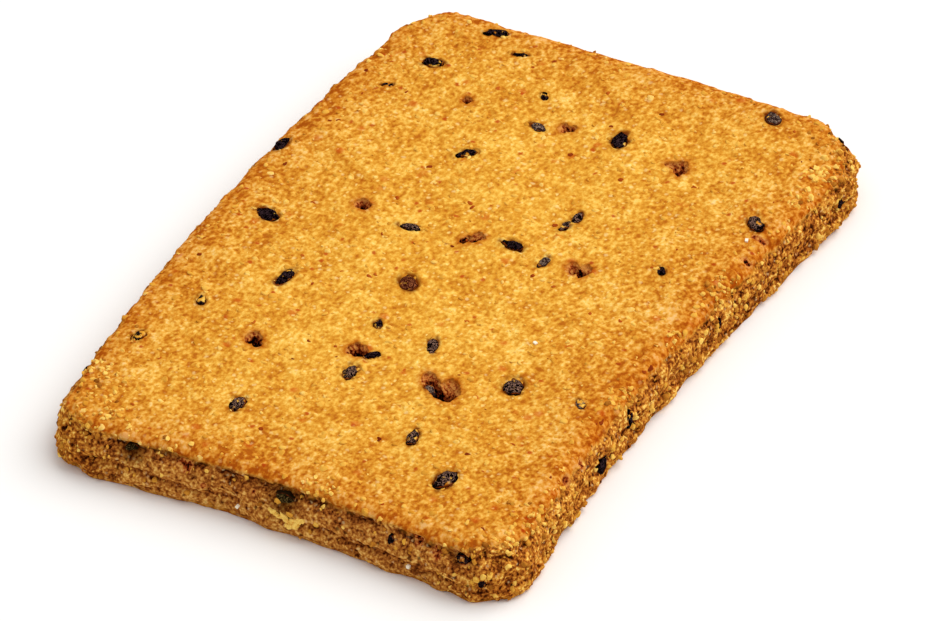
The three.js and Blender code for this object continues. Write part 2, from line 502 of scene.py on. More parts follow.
    def crag(self, x: Array, y: Array, z: Array | float) -> Array:
        """Crumbled depth of the wall: ridges everywhere and more at the corners."""
        to_corner = np.hypot(self.length / 2 - np.abs(x), self.width / 2 - np.abs(y))
        depth = self.crag_depth + self.corner_crag * np.exp(-((to_corner / self.corner_reach) ** 2))
        long, short = self.crag_waves
        return depth * (self.waves(x, y, z, long) + 0.6 * self.waves(y, x, z, short))

    def wall_points(self, u: Array, v: Array, share: Array) -> Array:
        """Points of the wall at edge places of the unit square and shares of the thickness."""
        inset = self.wall_inset(share)
        x, y = self.place(u, v, inset)
        height = self.thickness * share
        x, y = self.bend(*self.place(u, v, inset + self.crag(x, y, height)))
        return np.stack([x, y, height], axis=-1)


FORM = SlabForm()


@dataclass(frozen=True)
class DockingHole:
    """A hole that a docking pin tore, in millimetres: its deepest place and its torn mouth.

    Below the depth named black no light gets in, and the colour there is painted black as
    shade. The mouth's corners are measured from the deepest place.
    """

    x: float
    y: float
    depth: float
    black: float
    mouth: tuple[tuple[float, float], ...]


HOLES = (
    DockingHole(21.7, 10.6, 1.5, 0.85, (
        (-0.44, -0.18), (-0.08, -0.41), (0.45, -0.29), (0.7, 0.06), (0.59, 0.39), (0.24, 0.43),
        (-0.28, 0.14))),
    DockingHole(22.1, 1.0, 0.7, 0.65, (
        (-0.56, -0.04), (-0.25, -0.5), (0.54, -0.48), (0.33, 0.18), (0.56, 0.66), (0.3, 0.81),
        (-0.7, 0.97), (-0.86, 0.59))),
    DockingHole(20.9, -10.2, 1.3, 1.2, (
        (-0.93, -0.37), (-0.26, -0.56), (0.24, -0.73), (1.0, -0.49), (1.57, -0.14), (1.52, 0.34),
        (1.18, 0.6), (0.84, 1.17), (0.18, 1.51), (-0.14, 0.42), (-0.66, 0.0))),
    DockingHole(3.6, 10.3, 1.5, 0.9, (
        (-0.54, -0.31), (-0.02, -0.54), (0.53, -0.62), (0.79, -0.23), (1.08, 0.26), (1.0, 0.73),
        (0.53, 0.95), (-0.21, 0.85), (-0.42, 0.14))),
    DockingHole(3.5, 0.0, 1.2, 0.9, (
        (-0.35, -0.04), (-0.39, -0.51), (0.01, -0.71), (0.56, -1.15), (1.15, -0.67),
        (1.41, -0.18), (0.98, 0.08), (0.44, 0.18), (0.43, 0.55), (-0.34, 0.42), (-1.0, 0.28))),
    DockingHole(4.0, -10.2, 1.05, 1.4, (
        (-0.5, -0.03), (-1.03, -0.48), (-0.61, -0.84), (0.11, -1.05), (0.73, -0.89),
        (1.21, -0.46), (0.54, 0.19), (0.94, 0.76), (0.96, 1.28), (0.45, 1.33), (-0.17, 1.29),
        (-0.51, 0.83), (-0.68, 0.37))),
    DockingHole(-17.7, 9.8, 1.9, 0.7, (
        (-0.82, -0.44), (-0.06, -0.51), (0.47, -0.38), (1.05, 0.2), (1.2, 0.76), (0.61, 0.97),
        (0.07, 1.03), (-0.73, 0.68), (-0.58, 0.1))),
    DockingHole(-15.2, 1.2, 1.8, 0.9, (
        (-0.85, -0.12), (-0.7, -0.56), (-0.2, -0.78), (0.51, -0.7), (1.1, -0.27), (0.86, 0.13),
        (1.1, 0.64), (0.15, 1.05), (-0.75, 0.9), (-0.7, 0.35))),
    DockingHole(-16.7, -8.2, 1.8, 2.4, (
        (-1.07, 0.24), (-1.27, -0.58), (-0.89, -0.85), (-0.2, -1.03), (0.44, -1.07),
        (1.09, -0.63), (1.73, -0.08), (2.17, 0.62), (1.41, 0.95), (0.91, 1.28), (1.48, 2.21),
        (1.9, 3.0), (0.66, 2.82), (-0.34, 1.61), (-0.85, 0.9))),
)

# Narrow tears deep in some holes; their small black depths paint them black almost at once, as
# shade.
TEARS = (
    DockingHole(3.0, 0.4, 1.9, 0.12, ((0.2, -0.34), (0.36, 0.2), (-0.2, 0.34), (-0.36, -0.2))),
    DockingHole(3.8, -10.3, 2.1, 0.15, ((0.36, 0.2), (-0.1, 0.22), (-0.36, -0.2), (0.1, -0.22))),
    DockingHole(-18.1, 9.5, 2.2, 0.3, ((0.3, -0.34), (0.4, 0.26), (-0.2, 0.4), (-0.36, -0.2))),
    DockingHole(-16.9, -8.3, 2.6, 0.5, (
        (-0.4, -0.16), (-0.06, -0.56), (0.44, -0.68), (0.52, -0.25), (0.47, 0.3), (0.64, 1.16),
        (0.52, 1.67), (-0.13, 1.13), (-0.32, 0.46),
    )),
    DockingHole(-15.9, -6.2, 1.3, 0.85, (
        (-0.81, -0.39), (-0.35, -0.96), (0.63, -0.29), (1.02, 0.88), (-0.18, 0.77),
    )),
)


@dataclass(frozen=True)
class WallPit:
    """A pit in a near wall, in millimetres: its place along the bent wall and its height.

    Dark is how strong its painted shade is: 1 where no light gets in and 0 for a shallow dent.
    """

    wall: str
    along: float
    height: float
    reach: float
    depth: float
    dark: float = 1.0


WALL_PITS = tuple(
    WallPit(*row)
    for row in (
        ("-x", 9.38, 3.41, 0.42, 0.35), ("-x", 9.95, 3.62, 0.3, 0.2, 0.7),
        ("-x", 7.67, 2.35, 0.3, 0.3, 0.8), ("-x", 3.02, 2.98, 0.3, 0.2, 0.6),
        ("-x", -10.09, 3.28, 0.28, 0.3), ("-x", -12.77, 3.83, 0.5, 0.35, 0.8),
        ("-x", -14.88, 3.64, 0.5, 0.35, 0.8), ("-x", -16.6, 3.9, 0.5, 0.4, 0.95),
        ("-x", -17.3, 3.75, 0.55, 0.45), ("-x", 5.7, 0.7, 2.3, 0.55, 0.0),
        ("-x", -13.5, 0.6, 1.6, 0.4, 0.0), ("-y", 6.76, 2.52, 0.4, 0.35),
        ("-y", 16.39, 4.58, 0.35, 0.25, 0.8), ("-y", 13.27, 4.42, 0.4, 0.3, 0.9),
        ("-y", -20.29, 3.88, 0.45, 0.35, 0.9), ("-y", -17.47, 3.82, 0.4, 0.25, 0.6),
    )
)


class Coat(Enum):
    """The look of a seed's coat, as a number that its material reads."""

    BLACK = 0.0
    MAUVE = 0.25
    GREY = 0.5
    PLUM = 0.75
    OLIVE = 1.0


@dataclass(frozen=True)
class TopSeed:
    """A chia seed in the top skin, in millimetres and degrees; dough clings to its cover."""

    x: float
    y: float
    heading: float
    length: float
    slimness: float = 0.6
    coat: Coat = Coat.BLACK
    cover: float = 0.15
    sunk: float = 0.0


@dataclass(frozen=True)
class WallSeed:
    """A chia seed in a wall: the wall, its place along it from -1 to 1 and its height."""

    wall: str
    place: float
    share: float
    heading: float
    length: float
    coat: Coat = Coat.BLACK
    cover: float = 0.0
    sunk: float = 0.1


TOP_SEEDS = tuple(
    TopSeed(*row)
    for row in (
        (32.2, 14.1, 110, 2.1, 0.5, Coat.BLACK, 0.08), (30.1, 10.5, 110, 1.4, 0.38),
        (25.5, 16.2, 100, 1.9, 0.68), (25.4, 5.3, 30, 1.1, 0.6), (20.8, 17.7, 120, 1.0, 0.45),
        (21.0, 3.4, 70, 1.5, 0.65, Coat.GREY, 0.05), (22.4, -3.7, 15, 2.3, 0.58, Coat.BLACK, 0.1),
        (31.7, -13.2, 40, 1.8, 0.7, Coat.GREY, 0.15), (14.5, 6.5, 135, 1.9, 0.5),
        (10.7, -6.3, 11, 1.6, 0.5, Coat.MAUVE, 0.08),
        (9.1, -6.0, 170, 1.6, 0.45, Coat.MAUVE, 0.35),
        (17.8, -19.6, 40, 2.2, 0.58, Coat.MAUVE, 0.1), (9.0, 21.0, 0, 2.0, 0.5),
        (2.7, 5.4, 100, 1.9, 0.45, Coat.MAUVE, 0.1), (4.4, -3.5, 85, 2.0, 0.6),
        (3.5, -7.0, 170, 1.5, 0.55, Coat.GREY, 0.1), (7.5, -16.3, 28, 1.2, 0.6, Coat.BLACK, 0.2),
        (-0.9, 17.1, 75, 2.2, 0.68, Coat.BLACK, 0.08), (-4.5, 1.7, 35, 2.1, 0.7, Coat.PLUM, 0.08),
        (-8.5, 11.5, 170, 2.5, 0.42), (-14.5, 16.5, 25, 1.4, 0.6, Coat.BLACK, 0.6),
        (-11.0, 1.3, 25, 1.2, 0.65, Coat.BLACK, 0.3), (-11.5, -4.2, 20, 2.2, 0.45, Coat.MAUVE),
        (-18.0, 0.6, 5, 2.0, 0.58, Coat.MAUVE, 0.12),
        (-15.2, -0.1, 136, 1.6, 0.46, Coat.BLACK, 0.0),
        (-21.4, 19.3, 158, 1.7, 0.55, Coat.BLACK, 0.75),
        (-26.3, 7.7, 0, 2.1, 0.58, Coat.MAUVE, 0.1),
        (-23.4, -8.0, 10, 2.1, 0.48, Coat.MAUVE, 0.3),
        (-27.1, -12.8, 165, 2.6, 0.58, Coat.MAUVE, 0.12),
        (-12.9, -12.9, 15, 2.2, 0.75, Coat.MAUVE), (-12.0, -19.1, 40, 1.2, 0.65, Coat.GREY, 0.3),
        (-16.8, -6.5, 30, 1.3, 0.75, Coat.GREY, 0.0, 0.3),
    )
)

WALL_SEEDS = (
    WallSeed("-x", 0.56, 0.72, 10, 1.9, Coat.OLIVE, sunk=0.2),
    WallSeed("-x", 0.0, 0.66, 0, 2.2, Coat.OLIVE, sunk=0.25),
    WallSeed("-x", -0.38, 0.62, 80, 1.3),
    WallSeed("-x", -0.71, 0.76, 20, 1.6, cover=0.5, sunk=0.2),
    WallSeed("-x", -0.85, 0.46, 90, 1.3, sunk=-0.05),
    WallSeed("-y", -0.21, 0.56, 80, 1.7, sunk=0.0),
    WallSeed("-y", -0.34, 0.34, 50, 2.5, sunk=-0.1),
    WallSeed("-y", 0.15, 0.52, 30, 1.3),
    WallSeed("-y", 0.72, 0.38, 0, 1.4),
)
FAR_WALL_SEEDS = 8
FAR_WALL_DRAW = 29
FAR_WALL_RANGES = {
    "place": (-0.85, 0.85),
    "share": (0.3, 0.75),
    "heading": (0, 180),
    "length": (1.4, 2.2),
}


def draws(start: int) -> Iterator[float]:
    """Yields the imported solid's own repeatable run of numbers between 0 and 1."""
    state = start
    while True:
        state = state * 16807 % 2147483647
        yield state / 2147483647


def far_wall_seeds() -> tuple[WallSeed, ...]:
    """Seeds drawn for the two walls that face away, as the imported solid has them."""
    run = draws(FAR_WALL_DRAW)
    found = []
    for i in range(FAR_WALL_SEEDS):
        drawn = {n: low + (high - low) * next(run) for n, (low, high) in FAR_WALL_RANGES.items()}
        found.append(WallSeed("+x" if i % 3 == 0 else "+y", **drawn))
    return tuple(found)


# --- finishes


@dataclass(frozen=True)
class Speck:
    """One kind of small spot in the dough: how far apart, how big, its colour and how clear.

    The gap is in millimetres, the reach a share of it, and rare is the least random number
    between 0 and 1 that a spot needs to show.
    """

    gap: float
    reach: float
    colour: str
    strength: float
    rare: float


FLOUR = Speck(1.1, 0.24, "#fae09a", 0.5, 0.42)
PALE_GRIT = Speck(0.52, 0.38, "#ffdf88", 0.65, 0.6)
TOASTED_GRIT = Speck(0.66, 0.32, "#a8500c", 0.4, 0.64)
BLUSH = Speck(2.5, 0.24, "#c65418", 0.6, 0.45)
BRAN = Speck(1.9, 0.17, "#b84c16", 0.9, 0.38)
CRUMB_GRIT = Speck(0.5, 0.36, "#e6bc80", 0.55, 0.62)
# Dark specks painted as the shade in the crumb's pores.
CRUMB_PORE_SHADE = Speck(0.8, 0.32, "#3a1405", 0.8, 0.6)


@dataclass(frozen=True)
class BakedDough:
    """Sheeted wholemeal biscuit dough, baked golden and torn along its edges.

    Oven browning and flour grains give the skin a fine, pale mottle on amber. The torn
    walls are browner crumb, painted darker in their hollows as shade, and shade is also
    painted in the holes and round the seeds. Nothing of it shines. Sizes are millimetres.
    """

    grain: float = 0.42
    sheeted: tuple[float, float, float] = (0.9, 1.05, 1.0)
    layered: tuple[float, float, float] = (1.0, 1.0, 3.0)
    clump: float = 1.1
    cloud: float = 5.0
    ragged: float = 0.35
    pore: float = 0.25
    streak: float = 1.0
    grit: float = 0.28
    skin: Stops = (
        (0.33, "#b6681a"), (0.41, "#ca8424"), (0.5, "#dc9d34"), (0.59, "#edba4f"),
        (0.67, "#f6cd6a"), (0.76, "#fddf96"),
    )
    crumb: Stops = (
        (0.05, "#381103"), (0.28, "#7a3d15"), (0.5, "#a96426"), (0.7, "#c6863a"),
        (0.95, "#ecb962"),
    )
    loose_crumb: Stops = (
        (0.09, "#2a0d03"), (0.31, "#72340d"), (0.54, "#b46721"), (0.76, "#dc9836"),
        (0.94, "#f8cf6a"),
    )
    # The holes' crumb by depth: darker downwards and black at the bottom, as painted shade.
    hole: Stops = (
        (0.0, "#d08c42"), (0.2, "#b5602a"), (0.45, "#8c3a14"), (0.72, "#541808"),
        (0.88, "#140503"), (1.0, "#080302"),
    )
    toast: str = "#d8a072"
    # Painted shade: a browner tint on the slopes round the holes' mouths.
    mouth_shade: str = "#cf8f5e"
    # Painted shade in a ring round the seeds; the smudge darkens the wall round the olive seeds.
    seed_shade_and_smudge: str = "#805048"
    smudge: str = "#6a5a3c"
    skin_specks: tuple[Speck, ...] = (BLUSH, FLOUR, PALE_GRIT, TOASTED_GRIT, BRAN)
    crumb_specks: tuple[Speck, ...] = (CRUMB_GRIT, CRUMB_PORE_SHADE)
    roughness: float = 0.9
    specular: float = 0.0
    relief_strength: float = 0.6
    relief_depth: float = 0.1

    def mottle(self, on: Canvas) -> Node:
        """Browning that varies with the grain, with clumps of it and across the slab."""
        inputs = {0: on.place, 1: self.sheeted}
        rolled = on.node("ShaderNodeVectorMath", inputs, **MULTIPLY)
        grain = on.node(NOISE, on.cells(self.grain, 3.0, rolled))
        clump = on.node(NOISE, on.cells(self.clump, place=rolled))
        cloud = on.node(NOISE, on.cells(self.cloud, 1.0))
        mixed = on.node(MATH, {0: grain, 1: 0.55}, **MULTIPLY)
        mixed = on.node(MATH, {0: clump, 1: 0.3, 2: mixed}, **MULTIPLY_ADD)
        return on.node(MATH, {0: cloud, 1: 0.15, 2: mixed}, **MULTIPLY_ADD)

    def speckle(self, on: Canvas, ground: Node, specks: tuple[Speck, ...]) -> Node:
        """Adds ragged specks to a colour.

        Args:
            on: the material.
            ground: the colour so far.
            specks: the kinds of speck.

        Returns:
            The colour with them.
        """
        inputs = on.cells(self.ragged)
        sway = on.node(NOISE, inputs).outputs["Color"]
        inputs = {0: sway, 1: (self.ragged * MM,) * 3, 2: on.place}
        torn_place = on.node("ShaderNodeVectorMath", inputs, **MULTIPLY_ADD)
        for speck in specks:
            cells = on.node(VORONOI, {"Vector": torn_place, "Scale": per_metre(speck.gap)})
            edge = {
                "Value": cells,
                "From Min": speck.reach,
                "From Max": speck.reach / 3,
                "To Max": speck.strength,
            }
            near = on.node(RANGE, edge, interpolation_type="SMOOTHSTEP")
            rare = {"From Min": speck.rare, "From Max": speck.rare + 0.08}
            inputs = {0: cells.outputs["Color"], **rare}
            some = on.node(RANGE, inputs)
            share = on.node(MATH, {0: near, 1: some}, **MULTIPLY)
            ground = on.node(MIX, {0: share, 6: ground, 7: speck.colour}, **BLEND)
        return ground

    def skin_colour(self, on: Canvas, mottle: Node, read: dict) -> Node:
        """The top skin's colour, browner and of more contrast near the rim, with painted shade
        round the holes' mouths and round the seeds.

        Args:
            on: the material.
            mottle: the browning.
            read: the outputs that give the mesh's own marks.

        Returns:
            The node that gives it.
        """
        off = on.node(MATH, {0: mottle, 1: -0.5}, operation="ADD")
        off = on.node(MATH, {0: off, 1: read["toast"]}, **MULTIPLY)
        level = on.node(MATH, {0: read["raised"], 1: 0.05, 2: mottle}, **MULTIPLY_ADD)
        level = on.node(MATH, {0: off, 1: 1.4, 2: level}, **MULTIPLY_ADD)
        skin = self.speckle(on, on.node(RAMP, {0: level}, self.skin), self.skin_specks)
        inputs = {0: read["toast"], 6: skin, 7: self.toast}
        skin = on.node(MIX, inputs, **TINT)
        # Painted shade round the holes' mouths, then round the seeds.
        mouth_shaded = on.node(MATH, {0: read["mouth_shade"], 1: 0.7}, **MULTIPLY)
        inputs = {0: mouth_shaded, 6: skin, 7: self.mouth_shade}
        skin = on.node(MIX, inputs, **TINT)
        inputs = {0: read["seed_shade_and_smudge"], 6: skin, 7: self.seed_shade_and_smudge}
        return on.node(MIX, inputs, **TINT)

    def crumb_colour(self, on: Canvas, mottle: Node, read: dict) -> Node:
        """The torn walls' colour, in lying streaks with pale grit, darker in low places and in pore
        specks as painted shade.

        Args:
            on: the material.
            mottle: the browning.
            read: the outputs that give the mesh's own marks.

        Returns:
            The node that gives it.
        """
        inputs = {0: on.place, 1: self.layered}
        lying = on.node("ShaderNodeVectorMath", inputs, **MULTIPLY)
        streak = on.node(NOISE, on.cells(self.streak, 3.0, lying))
        grit = on.node(NOISE, on.cells(self.grit, 3.0))
        spread = on.node(MATH, {0: mottle, 1: 1.0, 2: -1.35}, **MULTIPLY_ADD)
        spread = on.node(MATH, {0: grit, 1: 1.7, 2: spread}, **MULTIPLY_ADD)
        spread = on.node(MATH, {0: streak, 1: 1.0, 2: spread}, **MULTIPLY_ADD)
        # Low places get the darker crumb colours: painted shade in hollows and under the rim.
        height = on.node(MATH, {0: read["raised"], 1: 0.32, 2: spread}, **MULTIPLY_ADD)
        dense = on.node(RAMP, {0: height}, self.crumb)
        bright = on.node(RAMP, {0: height}, self.loose_crumb)
        crumb = on.node(MIX, {0: read["loose"], 6: dense, 7: bright}, **BLEND)
        crumb = self.speckle(on, crumb, self.crumb_specks)
        inputs = {0: read["seed_shade_and_smudge"], 6: crumb, 7: self.smudge}
        return on.node(MIX, inputs, **TINT)

    def colour(self, on: Canvas) -> Node:
        """The dough's colour on skin, torn walls and in the holes, where painted shade darkens it
        with depth.

        Args:
            on: the material.

        Returns:
            The node that gives it.
        """
        marks = ("raised", "torn", "loose", "toast", "pit", "mouth_shade", "seed_shade_and_smudge")
        read = {m: on.node(ATTRIBUTE, attribute_name=m).outputs["Fac"] for m in marks}
        mottle = self.mottle(on)
        skin = self.skin_colour(on, mottle, read)
        crumb = self.crumb_colour(on, mottle, read)
        outside = on.node(MIX, {0: read["torn"], 6: skin, 7: crumb}, **BLEND)
        # In the holes the colour darkens with depth to black: painted shade.
        grit = on.node(NOISE, on.cells(self.grit, 3.0))
        sunk = on.node(MATH, {0: grit, 1: -2.9, 2: 1.38}, **MULTIPLY_ADD)
        sunk = on.node(MATH, {0: read["pit"], 1: sunk}, operation="ADD")
        inside = on.node(RAMP, {0: sunk}, self.hole)
        inner = on.node(RANGE, {"Value": read["pit"], "From Min": 0.0, "From Max": 0.15})
        return on.node(MIX, {0: inner, 6: outside, 7: inside}, **BLEND)

    def build(self) -> Material:
        """Makes the material."""
        on = Canvas.start("baked_wholemeal_dough", self.roughness, self.specular)
        pores = on.node(NOISE, on.cells(self.pore, 3.0))
        colour = self.colour(on).outputs[2]
        return on.finish(colour, pores, self.relief_strength, self.relief_depth)


@dataclass(frozen=True)
class ChiaCoat:
    """The hard coat of a chia seed: black at its rim, where veins are left out as painted shade,
    with fine worm-like veins on its back.

    Baking has dulled it, and dough clings to it in ragged patches, so that nothing of it
    glints. Sizes are millimetres.
    """

    dough: BakedDough
    marbling: float = 0.55
    tangle: float = 2.2
    patch: float = 0.55
    coats: Stops = (
        (0.0, "#050203"), (0.25, "#0b0506"), (0.5, "#2c1c1a"), (0.75, "#3a1208"),
        (1.0, "#1a1106"),
    )
    veins: Stops = (
        (0.0, "#3c2a2e"), (0.25, "#94705e"), (0.5, "#98806e"), (0.75, "#a4603a"),
        (1.0, "#64502a"),
    )
    roughness: float = 0.8
    specular: float = 0.0
    relief_strength: float = 0.6
    relief_depth: float = 0.06

    def clinging(self, on: Canvas, shown: NodeSocket) -> Node:
        """Where dough covers the seed: patches on its back and a ragged line at its rim.

        Args:
            on: the material.
            shown: height over the dough, 0 at the rim and 1 on the back.

        Returns:
            The node that gives it, from 0 to 1.
        """
        cover = on.node(ATTRIBUTE, attribute_name="cover").outputs["Fac"]
        inputs = on.cells(self.patch, 3.0)
        patches = on.node(NOISE, inputs)
        level = on.node(MATH, {0: cover, 1: 0.42, 2: patches}, **MULTIPLY_ADD)
        inputs = {"Value": shown, "From Min": 0.12, "From Max": 0.4, "To Min": -0.3, "To Max": 0.0}
        lifted = on.node(RANGE, inputs)
        level = on.node(MATH, {0: level, 1: lifted}, operation="ADD")
        back = on.node(RANGE, {"Value": level, "From Min": 0.69, "From Max": 0.75})
        line = on.node(MATH, {0: patches, 1: 2.2, 2: -1.02}, **MULTIPLY_ADD)
        edge = on.node(MATH, {0: line, 1: shown}, operation="SUBTRACT")
        edge = on.node(RANGE, {"Value": edge, "From Min": -0.04, "From Max": 0.04})
        bare = on.node(RANGE, {"Value": shown, "From Min": -0.15, "From Max": 0.0})
        edge = on.node(MATH, {0: edge, 1: bare}, **MULTIPLY)
        return on.node(MATH, {0: back, 1: edge}, operation="MAXIMUM")

    def build(self) -> Material:
        """Makes the material."""
        on = Canvas.start("chia_seed_coat", self.roughness, self.specular)
        coat = on.node(ATTRIBUTE, attribute_name="coat").outputs["Fac"]
        shown = on.node(ATTRIBUTE, attribute_name="lift").outputs["Fac"]
        inputs = on.cells(self.marbling, 3.0)
        marble = on.node(NOISE, {**inputs, "Distortion": self.tangle})
        off = on.node(MATH, {0: marble, 1: 0.52}, operation="SUBTRACT")
        off = on.node(MATH, {0: off}, operation="ABSOLUTE")
        worm = on.node(RANGE, {"Value": off, "From Min": 0.04, "From Max": 0.01})
        # Veins only on the back: the rim keeps the black ground as painted shade of the gap round
        # the seed.
        back = on.node(RANGE, {"Value": shown, "From Min": 0.05, "From Max": 0.45})
        veined = on.node(MATH, {0: worm, 1: back}, **MULTIPLY)
        ground = on.node(RAMP, {0: coat}, self.coats)
        vein = on.node(RAMP, {0: coat}, self.veins)
        colour = on.node(MIX, {0: veined, 6: ground, 7: vein}, **BLEND)
        clinging = self.clinging(on, shown)
        # Dough low on the seed is darkened as painted shade.
        low = on.node(RANGE, {"Value": shown, "From Min": 0.5, "From Max": 0.15})
        inputs = {0: low, 6: self.dough.colour(on), 7: self.dough.seed_shade_and_smudge}
        dough = on.node(MIX, inputs, **TINT)
        colour = on.node(MIX, {0: clinging, 6: colour, 7: dough.outputs[2]}, **BLEND)
        dimples = on.node(NOISE, on.cells(self.marbling / 2))
        return on.finish(colour.outputs[2], dimples, self.relief_strength, self.relief_depth)


@dataclass(frozen=True)
class DryCrumb:
    """Loose crumbs of baked dough, from pale yellow meal to browned bits, all matt.

    Each grain's own tone picks its colour. Sizes are millimetres.
    """

    name: str = "dry_biscuit_crumb"
    grain: float = 0.25
    tones: Stops = ((0.0, "#8a4c14"), (0.35, "#c07c28"), (0.7, "#dda23a"), (1.0, "#f7cd66"))
    roughness: float = 0.85
    specular: float = 0.01
    relief_strength: float = 0.5
    relief_depth: float = 0.04

    def build(self) -> Material:
        """Makes the material."""
        on = Canvas.start(self.name, self.roughness, self.specular)
        grain = on.node(NOISE, on.cells(self.grain))
        shade = on.node(MATH, {0: grain, 1: 0.5, 2: -0.25}, **MULTIPLY_ADD)
        own = on.node(ATTRIBUTE, attribute_name="tone").outputs["Fac"]
        tone = on.node(MATH, {0: own, 1: shade}, operation="ADD", use_clamp=True)
        colour = on.node(RAMP, {0: tone}, self.tones)
        return on.finish(colour.outputs[0], grain, self.relief_strength, self.relief_depth)


WHEAT_BRAN = DryCrumb(
    name="wheat_bran_husk",
    grain=0.3,
    tones=((0.0, "#6a200a"), (0.5, "#a84814"), (1.0, "#c87020")),
)
MEAL = DryCrumb(
    name="baked_wholemeal_grain",
    grain=0.3,
    tones=((0.0, "#cb8624"), (0.5, "#e0a43c"), (0.85, "#e9b650"), (1.0, "#f4cc74")),
)
SUGAR = DryCrumb(
    name="sugar_crystal",
    grain=0.35,
    tones=((0.0, "#c9b08c"), (0.5, "#e8d8b4"), (1.0, "#f8efd8")),
    roughness=0.35,
    specular=0.4,
)


# --- geometry nodes


class ScatterRecipe:
    """A Geometry Nodes tree with named sizes, run once and turned into a plain mesh."""

    def __init__(self, name: str, sizes: dict[str, float | int]) -> None:
        """Starts the tree.

        Args:
            name: the tree's name, and that of the piece it makes.
            sizes: its inputs' names and values.
        """
        self.name = name
        self.sizes = sizes
        self.tree = bpy.data.node_groups.new(name, "GeometryNodeTree")
        face = self.tree.interface
        face.new_socket("Geometry", in_out="INPUT", socket_type="NodeSocketGeometry")
        self.keys = {}
        for label, value in sizes.items():
            kind = "NodeSocketInt" if isinstance(value, int) else "NodeSocketFloat"
            self.keys[label] = face.new_socket(label, in_out="INPUT", socket_type=kind).identifier
        face.new_socket("Geometry", in_out="OUTPUT", socket_type="NodeSocketGeometry")
        self.source = add_node(self.tree, "NodeGroupInput").outputs

    def node(self, kind: str, inputs: Inputs = None, **settings: object) -> Node:
        """Adds a node to the tree."""
        return add_node(self.tree, kind, inputs, **settings)

    def finish(self, carrier: Object, instances: NodeSocket, material: Material) -> Object:
        """Ends the tree, runs it on the carrier and keeps the plain result.

        Args:
            carrier: the object whose mesh the tree starts from; its mesh is replaced.
            instances: what the tree has placed.
            material: what it is made of.

        Returns:
            The carrier, now the finished piece.
        """
        real = self.node("GeometryNodeRealizeInstances", {"Geometry": instances})
        inputs = {"Geometry": real.outputs[0], "Material": material}
        dressed = self.node("GeometryNodeSetMaterial", inputs)
        self.node("NodeGroupOutput", {0: dressed.outputs[0]})
        modifier = carrier.modifiers.new(self.name, "NODES")
        modifier.node_group = self.tree
        for label, value in self.sizes.items():
            modifier[self.keys[label]] = value
        graph = bpy.context.evaluated_depsgraph_get()
        mesh = bpy.data.meshes.new_from_object(carrier.evaluated_get(graph))
        carrier.modifiers.clear()
        carrier.data = mesh
        mesh.shade_smooth()
        carrier.name = mesh.name = self.name
        return carrier


# --- the dough


